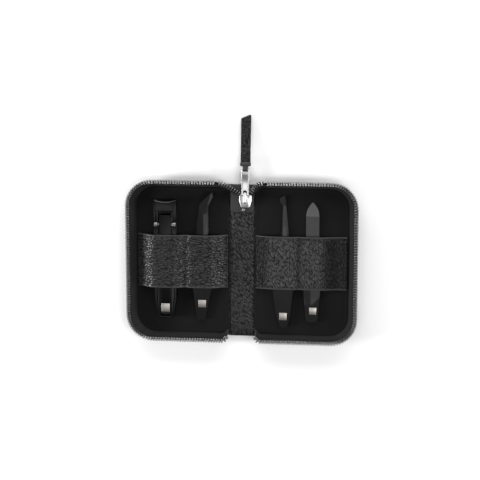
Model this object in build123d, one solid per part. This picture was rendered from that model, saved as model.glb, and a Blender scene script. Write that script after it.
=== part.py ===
from build123d import *
from math import asin, cos, degrees, radians, tan
import os

# A zip-round manicure case that lies open on its back, with four tools under its two bands.
# +X is to the right, +Y towards the pull strap and +Z up. The origin is the middle of the
# spine's underside. Lengths are millimetres, angles are degrees, and a share is part of one.

# --- case: driving dimensions ---
spine_width = 17.7  # from fold line to fold line
half_reach = 73.55  # from a fold line to the outside of the zip teeth
case_length = 116.0  # over the zip teeth
cover_thick = 1.2  # outer leather
board_thick = 1.5  # stiffener in each half
spine_board_thick = 1.0
lining_thick = 0.8
fold_gap = 0.3  # from a fold line to the edge of each panel beside it
panel_gap = 0.1  # a lining's edge to the wall round it
board_inset = 0.8  # a board's edge inside its lining's edge
rim_meet_gap = 0.2  # between the two rows of teeth when the case is shut
side_flare = 5.0  # how far the open side wall leans out
end_flare = 3.5  # how far the open end walls lean out
foot_corner = 14.0  # wall's corner radius at the lining
rim_corner = 17.5  # wall's corner radius at the teeth
bottom_corner = 4.0  # small corner where the wall starts beside the spine
wall_start = 1.95  # fold line to the wall's inner face, at the bottom end
wall_return = 0.4  # how far the row reaches back up past the lining's edge
wall_stop = 8.05  # fold line to the free end of the top wall
tape_thick = 0.6
gusset_thick = 1.0
gusset_height = 7.4  # top of the leather side wall above the table

# --- zip ---
tooth_pitch = 1.9
tooth_long = 1.15  # along the row
tooth_wide = 2.4  # across the row
tooth_high = 1.9
tooth_bevel = 0.3
stop_long = 2.2  # room for the end stop on the row
stop_gap = 0.6  # end stop to the first tooth, and to the row's end
row_straight = 0.1  # straight run of the row before its first corner
tail_gap = 0.5  # between a tail's sloping tape and its teeth
tail_foot_gap = 0.1
tail_bend = 4.0  # radius of its two bends seen from above
tail_joint = 0.1  # between a tail and the end of the rim
tail_ends = (1.0, 0.3)  # a tail's end inside the slider's side, and above its top
left_bends = [(0.32, 0.155), (0.69, 0.63)]  # shares of the way in and down, from rim to slider
right_bends = [(0.46, 0.05), (0.775, 0.5)]
end_tape_wide = 16.4
end_tape_long = 19.0
end_tape_thick = 0.35
end_tape_top_gap = 0.3  # its top edge inside the spine's edge
slider_offset = 2.7  # the slider stands a little right of the middle
slider_set = 10.95  # slider's middle inside the spine's top edge
slider_long = 8.9
slider_wide = 8.5
slider_waist = 5.9
slider_shoulder = 4.4  # length of the full-width part
slider_plate = 1.0
slider_slot = 1.9
slider_corner = 1.2  # radii of its outline: top corners, shoulders and lower corners
slider_shoulder_round = 2.5
slider_lower_round = 0.8
diamond_wide = 2.6
diamond_long = 3.4
diamond_set = 0.2  # diamond's end inside the slider's top end, and its corner radius
lip_high = 0.45
lip_thick = 0.6
mouth_long = 2.0  # how far the lower mouth reaches into the slider
nose_root = 1.5  # how far the nose for the bridge reaches back onto the slider
bottom_stop_gap = 1.1
bottom_stop_shift = 1.6  # left of the slider's middle
bottom_stop_size = (2.0, 2.2, 1.2)

# --- bridge, puller and strap ---
bridge_wide = 1.6
bridge_thick = 0.9
bridge_window = 1.7  # clear height under the arch
bridge_reach = 8.4
bridge_foot = 1.1  # length of its rear foot
bridge_lean = 0.8  # how far its rear leg leans forwards
bridge_round = 1.2  # outer corner radii of the arch, rear and front
bridge_front_round = 0.9
puller_wide = 5.5
puller_thick = 1.3
puller_round = 0.35
puller_pin = 0.65  # radius of the bars at both ends
puller_set = 0.2  # axis of the bar beyond the slider's top end
pin_gap = 0.12
eye_wide = 2.6
eye_long = 2.4
slot_wide = 4.1
slot_long = 3.1
puller_long = 17.95  # from bar to bar
loop_gap = 0.1
loop_thick = 1.0
loop_wide = 3.6
loop_long = 3.6  # plies from the bar to the end of the fold
knot_start = 1.25  # from the bar to the knot
knot_long = 2.5
knot_wide = 7.7
knot_thick = 4.4
knot_round = 1.5
strap_wide = 6.9
strap_thick = 1.8
strap_short = 53.4  # puller's pivot to the strap's near corner
strap_slant = 2.9
strap_round = (0.5, 0.6, 0.8)  # corner radii at the knot, the long corner and the short one

# --- bands ---
band_thick = 1.2
band_long = 38.3
band_y = -0.2
band_inner = 1.15  # fold line to the band's inner edge
band_outer = 1.1  # lining's outer edge to the band's outer edge
band_sewn = 3.0  # flat stretch that is sewn down beside the spine
left_sewn = 3.7  # flat stretches that are sewn down beside the outer walls
right_sewn = 8.7
band_gap = 0.35  # over each tool, and beside the tweezers and the clipper
flat_side_gap = 0.45  # beside the pusher and the file
left_dip = 3.0  # height of the leather over the lining, between two tools
right_dip = 1.6
band_round = 2.0

# --- tools, shared ---
tool_gap = 0.1  # between the lining and a tool's back
inlay_thick = 0.6
inlay_proud = 0.1
past = 1.0  # how far a cut reaches beyond the face it starts from

# --- nail clipper (its own frame: x across, y along as in the case, z from its back) ---
clipper_share = 0.6793  # where its middle lies, from the fold line to the wall's foot
clipper_wide = 15.6
clipper_head_gap = 9.5  # from the end walls' foot to its head and to its tail
clipper_tail_gap = 11.1
clipper_tail_wide = 11.0
clipper_taper = 14.0
clipper_corner = 0.3
clipper_side_round = 12.0
clipper_tail_round = 3.0
jaw_dip = 1.4
base_thick = 1.2
cheek_high = 5.2  # top of the raised sides of the channel
cheek_thick = 1.5
cheek_back = 35.5  # from the cutting edge to the channel's raised sides
jaw_top = 5.4
jaw_thick = 1.4
jaw_gap = 0.9  # between the cutting edges
edge_side = 0.6  # flat beside the hollow of the cutting edge
lip_long = 1.2
head_long = 9.1
crease_set = 0.3  # the crease behind the head: its place, width and depth
crease_wide = 0.5
crease_deep = 0.6
crease_side = 1.0  # beyond the lever's slim front
arm_inner = 4.9
arm_back = 31.5  # from the cutting edge to the arms' ends
spring_wide = 7.2
spring_thick = 0.7
spring_low = 2.0
spring_step = 1.4
spring_back = 17.9  # from the tail to the spring arm's end
lever_slim_back = 10.7  # from the cutting edge to the lever's slim front
lever_wide_back = 34.5  # from the cutting edge to its wide rear
lever_slim = 8.5
lever_thick = 1.3
lever_wide = 12.0
lever_gap = 1.0  # lever's end to the channel's end
lever_tail_wide = 8.7
lever_tail_round = 2.4
axle_back = 17.6  # from the cutting edge to the axle
axle_z = 4.1
axle_radius = 1.0
axle_head = 1.95
axle_gap = 0.05
axle_end = 0.1  # a head inside the clipper's side
head_floor = 3.4
notch_side = 0.5  # the arm's inner face to the notch for a head
cheek_half = 3.4  # half length of the cheek that carries the axle
cheek_drop = 0.4  # below the lever's boss
boss_half = 1.9
boss_low = 2.85
rivet_back = 21.9  # from the tail to the rivet
rivet_radius = 1.5
rivet_head = 2.25
rivet_gap = 0.05
rivet_head_thick = 0.35
clipper_inlay = 6.0
clipper_inlay_back = 7.8  # from the tail to the inlay's middle

# --- slant tweezers ---
tweezers_share = 0.2901
tweezers_wide = 13.2
tweezers_tip_gap = 3.2
tweezers_tail_gap = 10.0
leg_thick = 1.2
leg_spread = 1.9  # angle between the legs
tweezers_slide = 9.0  # how far it slides towards the tip with its leg under the band
tweezers_inlay = 5.4
tweezers_inlay_back = 11.9

# --- cuticle pusher ---
pusher_share = 0.308
pusher_wide = 14.0
pusher_tip_gap = 5.2
pusher_tail_gap = 6.2
pusher_thick = 2.8
pusher_tip_thick = 1.0
pusher_slope = 22.0  # length over which it thins towards its tip
pusher_inlay = 5.3
pusher_inlay_back = 7.9
pusher_inlay_side = 0.2

# --- nail file ---
file_share = 0.6145
handle_wide = 11.9
handle_long = 50.6
handle_thick = 2.4
file_tail_gap = 10.4
file_tip_gap = 9.7
blade_thick = 1.0
blade_low = 0.7
blade_wide = 9.3
blade_side = 0.2  # blade's middle beside the handle's
tip_long = 10.0
tip_bulge = 0.9
tang_wide = 6.0
tang_long = 14.0
file_inlay = 5.0
file_inlay_back = 8.1
file_inlay_side = 0.75

# --- worked out from the driving dimensions ---
fold_x = spine_width / 2
fold_z = cover_thick + spine_board_thick + lining_thick
lining_top = cover_thick + board_thick + lining_thick
rim_top = fold_z + fold_x - rim_meet_gap / 2
tape_top = rim_top - tooth_high
rim_x = fold_x + half_reach - tooth_wide / 2
rim_y = (case_length - tooth_wide) / 2
foot_x = rim_x - tape_thick / 2 - side_flare
foot_y = rim_y - tape_thick / 2 - end_flare
wall_thick = tape_thick + gusset_thick
panel_start = fold_x + fold_gap
tool_floor = lining_top + tool_gap
spine_half = foot_y + wall_thick
end_tape_top = spine_half - end_tape_top_gap
slider_y = spine_half - slider_set
slider_start = slider_y + slider_long / 2
slider_floor = fold_z + end_tape_thick
slider_top = slider_floor + 2 * slider_plate + slider_slot
pivot_y = slider_start + puller_set
pivot_z = slider_top + pin_gap + puller_pin
bridge_end = pivot_y + puller_pin + pin_gap + bridge_thick
strap_rest = degrees(asin((pivot_z - strap_thick / 2) / (strap_short + strap_slant)))


def across(share):
    """Distance from the middle of the spine to a share of a half's floor."""
    return fold_x + share * (foot_x - fold_x)


clipper_x = -across(clipper_share)
tweezers_x = -across(tweezers_share)
pusher_x = across(pusher_share)
file_x = across(file_share)
clipper_top = foot_y - clipper_head_gap
clipper_bottom = clipper_tail_gap - foot_y
axle_y = clipper_top - axle_back
rivet_y = clipper_bottom + rivet_back
clipper_inlay_at = (0, clipper_bottom + clipper_inlay_back)
tweezers_tail = tweezers_tail_gap - foot_y
tweezers_long = foot_y - tweezers_tip_gap - tweezers_tail
pusher_tail = pusher_tail_gap - foot_y
pusher_long = foot_y - pusher_tip_gap - pusher_tail
handle_tail = file_tail_gap - foot_y
handle_top = handle_tail + handle_long


def face_of(points, radii):
    """A flat face whose corners are rounded by the radii, in order."""
    return make_face(FilletPolyline(*points, radius=radii, close=True))


def slab(face, low, thick):
    """A flat face of the XY plane, lifted and given its thickness."""
    return extrude(Pos(0, 0, low) * face, thick, dir=(0, 0, 1))


def block(x_range, y_range, z_range):
    """A box from its limits along each axis."""
    size = [high - low for low, high in (x_range, y_range, z_range)]
    middle = [(high + low) / 2 for low, high in (x_range, y_range, z_range)]
    return Pos(*middle) * Box(*size)


def pin_along_x(radius, x_range, y, z):
    """A round pin or bore whose axis runs along X."""
    length = x_range[1] - x_range[0]
    middle = (x_range[0] + x_range[1]) / 2
    return Pos(middle, y, z) * Rot(0, 90, 0) * Cylinder(radius, length)


def mirrored(shape):
    return mirror(shape, about=Plane.YZ)


def shaped(stations, x, y, wide, long):
    """An outline from stations: share of the width from the middle, share of the length from
    the tail, and the corner's radius as a share of the width."""
    points = [(x + side * wide, y + along * long) for side, along, _ in stations]
    return face_of(points, [round_share * wide for _, _, round_share in stations])


# --- the two halves, modelled on the right and mirrored to the left ---


def wall_face(z, grow):
    """The wall's rounded outline at a height, moved outwards by grow."""
    lean = max(z - lining_top, 0) / (tape_top - lining_top)
    near = fold_x + wall_start - grow
    far = foot_x + side_flare * lean + grow
    end = foot_y + end_flare * lean + grow
    outer = foot_corner + (rim_corner - foot_corner) * lean + grow
    inner = bottom_corner + grow
    points = [(near, -end), (far, -end), (far, end), (near, end)]
    return Pos(0, 0, z) * face_of(points, [inner, outer, outer, inner])


def wall(heights, inside, outside):
    """An open wall round three sides, between two offsets of the outline."""
    shell = loft([wall_face(z, outside) for z in heights], ruled=True)
    shell -= loft([wall_face(z, inside) for z in heights], ruled=True)
    mouth = (fold_x - spine_width, fold_x + wall_stop)
    shell -= block(mouth, (-foot_y - wall_return, case_length), (0, rim_top))
    return shell.solids()[0]


def panel(low, thick, outset, rounding):
    """A flat layer of one half, out to the wall's foot plus an outset."""
    far = foot_x + outset
    end = foot_y + outset
    points = [(panel_start, -end), (far, -end), (far, end), (panel_start, end)]
    outer = foot_corner + outset
    return slab(face_of(points, [rounding, outer, outer, rounding]), low, thick)


def row_path():
    """The middle line of the row of teeth, from the bottom end round to the top end."""
    start_x = fold_x + wall_start - tape_thick / 2
    start_y = -foot_y - wall_return
    points = [
        (start_x, start_y, tape_top),
        (start_x, -rim_y, tape_top),
        (rim_x, -rim_y, tape_top),
        (rim_x, rim_y, tape_top),
        (fold_x + wall_stop, rim_y, tape_top),
    ]
    outer = rim_corner + tape_thick / 2
    return FilletPolyline(*points, radius=[start_y + rim_y - row_straight, outer, outer])


def tooth():
    """One tooth, standing on the tape's edge with its length along X."""
    body = Pos(0, 0, tooth_high / 2) * Box(tooth_long, tooth_wide, tooth_high)
    crown = body.faces().sort_by(Axis.Z)[-1]
    return chamfer(crown.edges().filter_by(Axis.X), tooth_bevel)


def place(path, distance):
    """The seat on a path at a distance from its start, with X along the path."""
    share = distance / path.length
    return Plane(origin=path @ share, x_dir=path % share, z_dir=(0, 0, 1)).location


def teeth_row():
    path = row_path()
    count = int((path.length - stop_long) / tooth_pitch)
    one = tooth()
    return [place(path, stop_long + (n + 0.5) * tooth_pitch) * one for n in range(count)]


def end_stop():
    clamp = Pos(0, 0, tooth_high / 2) * Box(stop_long - stop_gap, tooth_wide, tooth_high)
    return place(row_path(), stop_long / 2) * clamp


def half_shells():
    """Every fixed piece of the right half except its teeth and its band."""
    foot = [cover_thick, lining_top]
    return {
        "cover": panel(0, cover_thick, wall_thick, fold_gap),
        "board": panel(cover_thick, board_thick, -board_inset, fold_gap),
        "lining": panel(cover_thick + board_thick, lining_thick, -panel_gap, fold_gap),
        "gusset": wall(foot + [gusset_height], tape_thick, wall_thick),
        "zip_tape": wall(foot + [tape_top], 0, tape_thick),
        "end_stop": end_stop(),
    }


def hump(middle, wide, gap, tool_high):
    """Where the band's underside runs flat over a tool: near x, far x and height."""
    return abs(middle) - wide / 2 - gap, abs(middle) + wide / 2 + gap, tool_floor + tool_high + band_gap


def band(first, second, dip, sewn):
    """A band over two tools, given by their humps. Dip is the height of the leather between
    them over the lining, and sewn the flat stretch beyond the second."""
    start = fold_x + band_inner
    end = foot_x - panel_gap - band_outer
    line = [
        (start, lining_top),
        (start + band_sewn, lining_top),
        (first[0], first[2]),
        (first[1], first[2]),
        ((first[1] + second[0]) / 2, lining_top + dip),
        (second[0], second[2]),
        (second[1], second[2]),
        (end - sewn, lining_top),
        (end, lining_top),
    ]
    top = [(x, z + band_thick) for x, z in reversed(line)]
    sharp = [0.0]
    soft = [band_round] * (len(line) - 2)
    section = face_of(line + top, sharp + soft + sharp + sharp + soft + sharp)
    front = Plane(origin=(0, band_y + band_long / 2, 0), x_dir=(1, 0, 0), z_dir=(0, -1, 0))
    return extrude(front * section, band_long)


# --- spine and zip ends ---


def spine_layer(low, thick, inset=0.0):
    half = fold_x - fold_gap
    return block((-half, half), (inset - spine_half, spine_half - inset), (low, low + thick))


def slider_outline():
    """The slider seen from above, full width at its top end."""
    wide = slider_wide / 2
    waist = slider_waist / 2
    shoulder = slider_start - slider_shoulder
    bottom = slider_start - slider_long
    points = [(wide, slider_start), (-wide, slider_start), (-wide, shoulder)]
    points += [(-waist, bottom), (waist, bottom), (wide, shoulder)]
    radii = [slider_corner, slider_corner, slider_shoulder_round]
    radii += [slider_lower_round, slider_lower_round, slider_shoulder_round]
    return Pos(slider_offset, 0, 0) * face_of(points, radii)


def slider_body():
    """Two plates joined by the diamond, with lips along the edges and a nose for the bridge."""
    outline = slider_outline()
    body = slab(outline, slider_floor, slider_top - slider_floor)
    low = slider_floor + slider_plate
    slot = (low, low + slider_slot)
    body -= slab(offset(outline, -lip_thick), low, slider_slot)
    body -= slab(outline, low + lip_high, slider_slot - 2 * lip_high)
    wide = slider_wide / 2 + past
    body -= block((slider_offset - wide, slider_offset + wide), (slider_start - past, slider_start + past), slot)
    waist = slider_waist / 2 - lip_thick
    bottom = slider_start - slider_long
    body -= block((slider_offset - waist, slider_offset + waist), (bottom - past, bottom + mouth_long), slot)
    half = diamond_wide / 2
    middle = slider_start - diamond_long / 2
    points = [(-half, slider_start - diamond_set), (half, slider_start - diamond_set), (half, middle)]
    points += [(0, slider_start - diamond_long), (-half, middle)]
    body += slab(Pos(slider_offset, 0, 0) * face_of(points, diamond_set), low, slider_slot)
    nose = block((slider_offset - bridge_wide / 2, slider_offset + bridge_wide / 2),
                 (slider_start - nose_root, bridge_end), (slider_top - slider_plate, slider_top))
    return (body + nose).solids()[0]


def slider_bridge():
    """The arch that keeps the puller's bar on the slider."""
    near = bridge_end - bridge_reach
    high = slider_top + bridge_window + bridge_thick
    points = [(near, slider_top), (near + bridge_lean, high), (bridge_end, high), (bridge_end, slider_top)]
    arch = face_of(points, [0, bridge_round, bridge_front_round, 0])
    foot = near + bridge_foot
    inside = [(foot, slider_top), (foot + bridge_lean, high - bridge_thick)]
    inside += [(bridge_end - bridge_thick, high - bridge_thick), (bridge_end - bridge_thick, slider_top)]
    arch -= face_of(inside, [0, bridge_round / 2, bridge_front_round / 2, 0])
    side = Plane(origin=(slider_offset - bridge_wide / 2, 0, 0), x_dir=(0, 1, 0), z_dir=(1, 0, 0))
    return extrude(side * arch, bridge_wide)


def tail_route(side):
    """The plan of a zip tail, from the end of the rim (side is -1 left, +1 right) to the slider."""
    rim_end = (side * (fold_x + wall_stop - tail_joint), rim_y)
    foot = (slider_offset + side * (slider_wide / 2 - tail_ends[0]), slider_start + tail_ends[1])
    inwards = foot[0] - rim_end[0]
    down = foot[1] - rim_end[1]
    shares = left_bends if side < 0 else right_bends
    return [rim_end] + [(rim_end[0] + a * inwards, rim_y + b * down) for a, b in shares] + [foot]


def tail_height(x, side):
    """Height of a tail's teeth above the table: from the rim down to the slider's slot."""
    high = fold_x + wall_stop
    low = abs(tail_route(side)[-1][0])
    share = (abs(x) - low) / (high - low)
    foot = slider_floor + slider_plate + lip_high
    return foot + (tape_top - foot) * max(min(share, 1), 0)


def tail_tape(side):
    """A tail's upright tape: its plan is the route, and its top edge slopes to the slider."""
    route = tail_route(side)
    low = lining_top + tail_foot_gap
    tall = tape_top - low
    line = Pos(0, 0, low + tall / 2) * FilletPolyline(*route, radius=tail_bend)
    start = Plane(origin=line @ 0, x_dir=(0, 0, 1), z_dir=line % 0)
    ribbon = sweep(start * Rectangle(tall, tape_thick), path=line)
    ends = sorted([route[0][0], route[-1][0]])
    slope = [(x, tail_height(x, side) - tail_gap) for x in ends]
    cutter = slope + [(ends[1], rim_top), (ends[0], rim_top)]
    front = Plane(origin=(0, case_length, 0), x_dir=(1, 0, 0), z_dir=(0, -1, 0))
    wedge = extrude(front * make_face(Polyline(*cutter, close=True)), case_length)
    return (ribbon - wedge).solids()[0]


def tail_teeth(side):
    """The teeth on a tail, tipped to follow its slope."""
    line = FilletPolyline(*tail_route(side), radius=tail_bend)
    one = tooth()
    teeth = []
    count = int((line.length - tooth_wide) / tooth_pitch)
    for n in range(count):
        share = (n + 0.75) * tooth_pitch / line.length
        here = line @ share
        along = line % share
        step = tooth_pitch / 4
        ahead = here + along * step
        rise = (tail_height(ahead.X, side) - tail_height(here.X, side)) / step
        direction = Vector(along.X, along.Y, rise).normalized()
        up = Vector(-direction.X * direction.Z, -direction.Y * direction.Z, 1 - direction.Z**2)
        seat = Plane(origin=(here.X, here.Y, tail_height(here.X, side)), x_dir=direction, z_dir=up)
        teeth.append(seat.location * one)
    return teeth


def bottom_stop():
    wide, long, high = bottom_stop_size
    top = slider_start - slider_long - bottom_stop_gap
    x = slider_offset - bottom_stop_shift
    return block((x - wide / 2, x + wide / 2), (top - long, top), (slider_floor, slider_floor + high))


def end_tape():
    half = end_tape_wide / 2
    span = (end_tape_top - end_tape_long, end_tape_top)
    return block((-half, half), span, (fold_z, slider_floor))


# --- puller and strap: made along +Y from the bar's axis, then laid down at the bridge ---


def at_bridge(shape):
    return Pos(slider_offset, pivot_y, pivot_z) * Rot(-strap_rest, 0, 0) * shape


def puller():
    """A flat plate with a round bar at each end: the bridge's eye and the strap's slot."""
    half = puller_wide / 2
    thick = (-puller_thick / 2, puller_thick / 2)
    plate = block((-half, half), (0, puller_long), thick)
    plate = fillet(plate.edges().filter_by(Axis.Y), puller_round)
    plate -= block((-eye_wide / 2, eye_wide / 2), (0, puller_pin + eye_long), thick)
    slot = (puller_long - puller_pin - slot_long, puller_long)
    plate -= block((-slot_wide / 2, slot_wide / 2), slot, thick)
    bars = pin_along_x(puller_pin, (-half, half), 0, 0)
    bars += pin_along_x(puller_pin, (-half, half), puller_long, 0)
    return at_bridge((plate + bars).solids()[0])


def strap_loop():
    """The leather fold round the slot's bar, with its two plies running into the knot."""
    inner = puller_pin + loop_gap
    outer = inner + loop_thick
    half = loop_wide / 2
    solid = pin_along_x(outer, (-half, half), 0, 0) + block((-half, half), (0, loop_long), (-outer, outer))
    solid -= pin_along_x(inner, (-half, half), 0, 0)
    solid -= block((-half, half), (0, loop_long), (-inner, inner))
    return Pos(0, puller_long, 0) * solid


def knot_block():
    half = knot_wide / 2
    span = (knot_start, knot_start + knot_long)
    body = block((-half, half), span, (-knot_thick / 2, knot_thick / 2))
    body = fillet(body.edges().filter_by(Axis.Y), knot_round)
    return Pos(0, puller_long, 0) * body


def strap_tail():
    """The free end of the strap, cut at a slant and higher on the right."""
    half = strap_wide / 2
    start = puller_long + knot_start + knot_long
    points = [(-half, start), (half, start), (half, strap_short + strap_slant), (-half, strap_short)]
    near, long_corner, short_corner = strap_round
    return slab(face_of(points, [near, near, long_corner, short_corner]), -strap_thick / 2, strap_thick)


def strap_pieces():
    loop = strap_loop()
    knot = knot_block() - loop
    return {
        "strap_loop": at_bridge(loop),
        "strap_knot": at_bridge(knot.solids().sort_by(SortBy.VOLUME)[-1]),
        "pull_strap": at_bridge(strap_tail()),
    }


# --- nail clipper ---


def clipper_outline(front, back, wide, tail, rounding):
    """A plate that tapers over its last stretch to a rounded tail."""
    half = wide / 2
    points = [(-half, front), (half, front), (half, back + clipper_taper), (tail / 2, back)]
    points += [(-tail / 2, back), (-half, back + clipper_taper)]
    radii = [clipper_corner, clipper_corner, clipper_side_round, rounding, rounding, clipper_side_round]
    return face_of(points, radii)


def cutting_curve():
    """The shallow hollow of the cutting edge, as a cutter through both jaws."""
    chord = clipper_wide / 2 - edge_side
    radius = (chord**2 + jaw_dip**2) / (2 * jaw_dip)
    return Pos(0, clipper_top - jaw_dip + radius, 0) * Cylinder(radius, 4 * jaw_top)


def clipper_body():
    """Lower jaw, floor and the raised sides of the channel."""
    whole = clipper_outline(clipper_top, clipper_bottom, clipper_wide, clipper_tail_wide, clipper_tail_round)
    body = slab(whole, 0, base_thick)
    sides = slab(whole, base_thick, cheek_high - base_thick)
    sides -= slab(offset(whole, -cheek_thick), base_thick, cheek_high)
    front = (clipper_top - cheek_back, clipper_top + past)
    sides -= block((-clipper_wide, clipper_wide), front, (base_thick, jaw_top))
    half = clipper_wide / 2
    edge_low = jaw_top - jaw_thick - lip_long - jaw_gap
    edge = (clipper_top - jaw_dip - lip_long, clipper_top)
    lip = block((-half, half), edge, (base_thick, edge_low))
    body = body + sides + lip - cutting_curve()
    return body.solids().sort_by(SortBy.VOLUME)[-1]


def upper_jaw():
    """Head with its cutting lip, two side arms, cheeks for the axle and the long spring arm."""
    half = clipper_wide / 2
    low = jaw_top - jaw_thick
    rear = clipper_top - head_long
    jaw = block((-half, half), (rear, clipper_top), (low, jaw_top))
    jaw += block((-half, half), (clipper_top - jaw_dip - lip_long, clipper_top), (low - lip_long, low))
    crease = (rear + crease_set, rear + crease_set + crease_wide)
    crease_x = lever_slim / 2 + crease_side
    jaw -= block((-crease_x, crease_x), crease, (jaw_top - crease_deep, jaw_top))
    for side in (-1, 1):
        arm_x = sorted((side * arm_inner, side * half))
        jaw += block(arm_x, (clipper_top - arm_back, rear), (low, jaw_top))
        cheek = block(arm_x, (axle_y - cheek_half, axle_y + cheek_half), (boss_low - cheek_drop, jaw_top))
        head_x = sorted((side * (arm_inner + notch_side), side * (half + past)))
        notch = block(head_x, (axle_y - axle_head, axle_y + axle_head), (head_floor, jaw_top + past))
        jaw = jaw + cheek - notch
    arm = (-spring_wide / 2, spring_wide / 2)
    jaw += block(arm, (rear, rear + spring_step), (spring_low, low))
    spring = (clipper_bottom + spring_back, rear + spring_step)
    jaw += block(arm, spring, (spring_low, spring_low + spring_thick))
    jaw -= pin_along_x(axle_radius, (-half, half), axle_y, axle_z)
    jaw -= Pos(0, rivet_y, spring_low) * Cylinder(rivet_radius + rivet_gap, 4 * spring_thick)
    jaw -= cutting_curve()
    return jaw.solids().sort_by(SortBy.VOLUME)[-1]


def clipper_rivet():
    """A rivet that stands on the floor and holds the spring arm's tail."""
    high = spring_low + spring_thick + rivet_gap
    stem = Pos(0, rivet_y, (base_thick + high) / 2) * Cylinder(rivet_radius, high - base_thick)
    collar_high = spring_low - rivet_gap - base_thick
    collar = Pos(0, rivet_y, base_thick + collar_high / 2) * Cylinder(rivet_head, collar_high)
    head = Pos(0, rivet_y, high + rivet_head_thick / 2) * Cylinder(rivet_head, rivet_head_thick)
    return stem + collar + head


def clipper_axle():
    """The cross pin and its two flattened heads in the notches of the arms."""
    inner = arm_inner + notch_side
    outer = clipper_wide / 2 - axle_end
    axle = pin_along_x(axle_radius, (-inner, inner), axle_y, axle_z)
    for side in (-1, 1):
        head = pin_along_x(axle_head, sorted((side * inner, side * outer)), axle_y, axle_z)
        axle += head - block((-clipper_wide, clipper_wide), (0, clipper_top), (0, head_floor))
    return axle.solids()[0]


def clipper_lever():
    """A slim front between the arms, a wide rear in the channel and a boss on the axle."""
    low = jaw_top - lever_thick
    widens = clipper_top - lever_wide_back
    back = clipper_bottom + cheek_thick + lever_gap
    lever = slab(clipper_outline(widens, back, lever_wide, lever_tail_wide, lever_tail_round), low, lever_thick)
    slim = lever_slim / 2
    lever += block((-slim, slim), (widens, clipper_top - lever_slim_back), (low, jaw_top))
    lever += block((-slim, slim), (axle_y - boss_half, axle_y + boss_half), (boss_low, low))
    lever -= pin_along_x(axle_radius + axle_gap, (-slim, slim), axle_y, axle_z)
    lever -= inlay(clipper_inlay_at, clipper_inlay, jaw_top)
    return lever.solids()[0]


def inlay(at, size, top):
    """A bare square plate let into a surface at height top, a little proud of it."""
    low = top + inlay_proud - inlay_thick
    return block((at[0] - size / 2, at[0] + size / 2), (at[1] - size / 2, at[1] + size / 2), (low, low + inlay_thick))


def in_case(shape):
    """Puts a tool's piece on the lining."""
    return Pos(0, 0, tool_floor) * shape


def at_clipper(shape):
    return Pos(clipper_x, 0, tool_floor) * shape


# --- slant tweezers ---


def tweezers_outline():
    """One leg from above: slanted tip, slim neck and wide rounded tail."""
    stations = [
        (0.553, 1.0, 0.03),
        (-0.106, 0.907, 0.15),
        (-0.25, 0.754, 2.3),
        (-0.5, 0.323, 1.5),
        (-0.485, 0.237, 1.5),
        (-0.295, 0.0, 0.09),
        (0.152, 0.0, 0.09),
        (0.485, 0.237, 1.5),
        (0.5, 0.323, 1.5),
        (0.326, 0.754, 1.5),
        (0.326, 0.878, 0.45),
        (0.606, 0.954, 0.11),
    ]
    return shaped(stations, tweezers_x, tweezers_tail, tweezers_wide, tweezers_long)


def tweezers():
    """Two flat legs, the upper one turned up about the joint at their tail."""
    outline = tweezers_outline()
    leg = slab(outline, 0, leg_thick)
    plate = inlay((tweezers_x, tweezers_tail + tweezers_inlay_back), tweezers_inlay, leg_thick)
    spread = Pos(0, tweezers_tail, leg_thick) * Rot(leg_spread, 0, 0) * Pos(0, -tweezers_tail, 0)
    return leg, spread * leg - spread * plate, spread * plate


def tweezers_height():
    """Height of the upper leg where the band's top edge can come to lie over it."""
    reach = band_y + band_long / 2 + tweezers_slide - tweezers_tail
    return leg_thick + reach * tan(radians(leg_spread)) + leg_thick / cos(radians(leg_spread))


# --- cuticle pusher ---


def pusher_outline():
    """Slanted hoof head, slim neck and wide rounded handle."""
    stations = [
        (-0.179, 0.98, 0.021),
        (0.086, 1.0, 0.021),
        (0.136, 0.928, 0.36),
        (0.264, 0.748, 1.43),
        (0.5, 0.368, 0.86),
        (0.5, 0.273, 1.43),
        (0.386, 0.093, 0.86),
        (0.207, 0.0, 0.157),
        (-0.114, 0.0, 0.157),
        (-0.343, 0.093, 0.86),
        (-0.5, 0.273, 1.43),
        (-0.486, 0.368, 0.86),
        (-0.079, 0.727, 1.43),
        (-0.021, 0.924, 0.057),
        (-0.157, 0.946, 0.043),
    ]
    return shaped(stations, pusher_x, pusher_tail, pusher_wide, pusher_long)


def pusher():
    """The plate thins to an edge at its head."""
    body = slab(pusher_outline(), 0, pusher_thick)
    tip = pusher_tail + pusher_long
    slope = [(tip - pusher_slope, pusher_thick), (tip + past, pusher_tip_thick), (tip + past, pusher_thick + past)]
    slope.append((tip - pusher_slope, pusher_thick + past))
    side = Plane(origin=(0, 0, 0), x_dir=(0, 1, 0), z_dir=(1, 0, 0))
    body -= extrude(side * make_face(Polyline(*slope, close=True)), case_length)
    at = (pusher_x + pusher_inlay_side, pusher_tail + pusher_inlay_back)
    plate = inlay(at, pusher_inlay, pusher_thick)
    return body - plate, plate


# --- nail file ---


def file_handle():
    stations = [
        (-0.441, 1.0, 0.084),
        (0.458, 1.0, 0.084),
        (0.5, 0.565, 1.68),
        (0.466, 0.368, 1.68),
        (0.324, 0.0, 0.168),
        (-0.34, 0.0, 0.168),
        (-0.483, 0.368, 1.68),
        (-0.492, 0.565, 1.68),
    ]
    return slab(shaped(stations, file_x, handle_tail, handle_wide, handle_long), 0, handle_thick)


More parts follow.
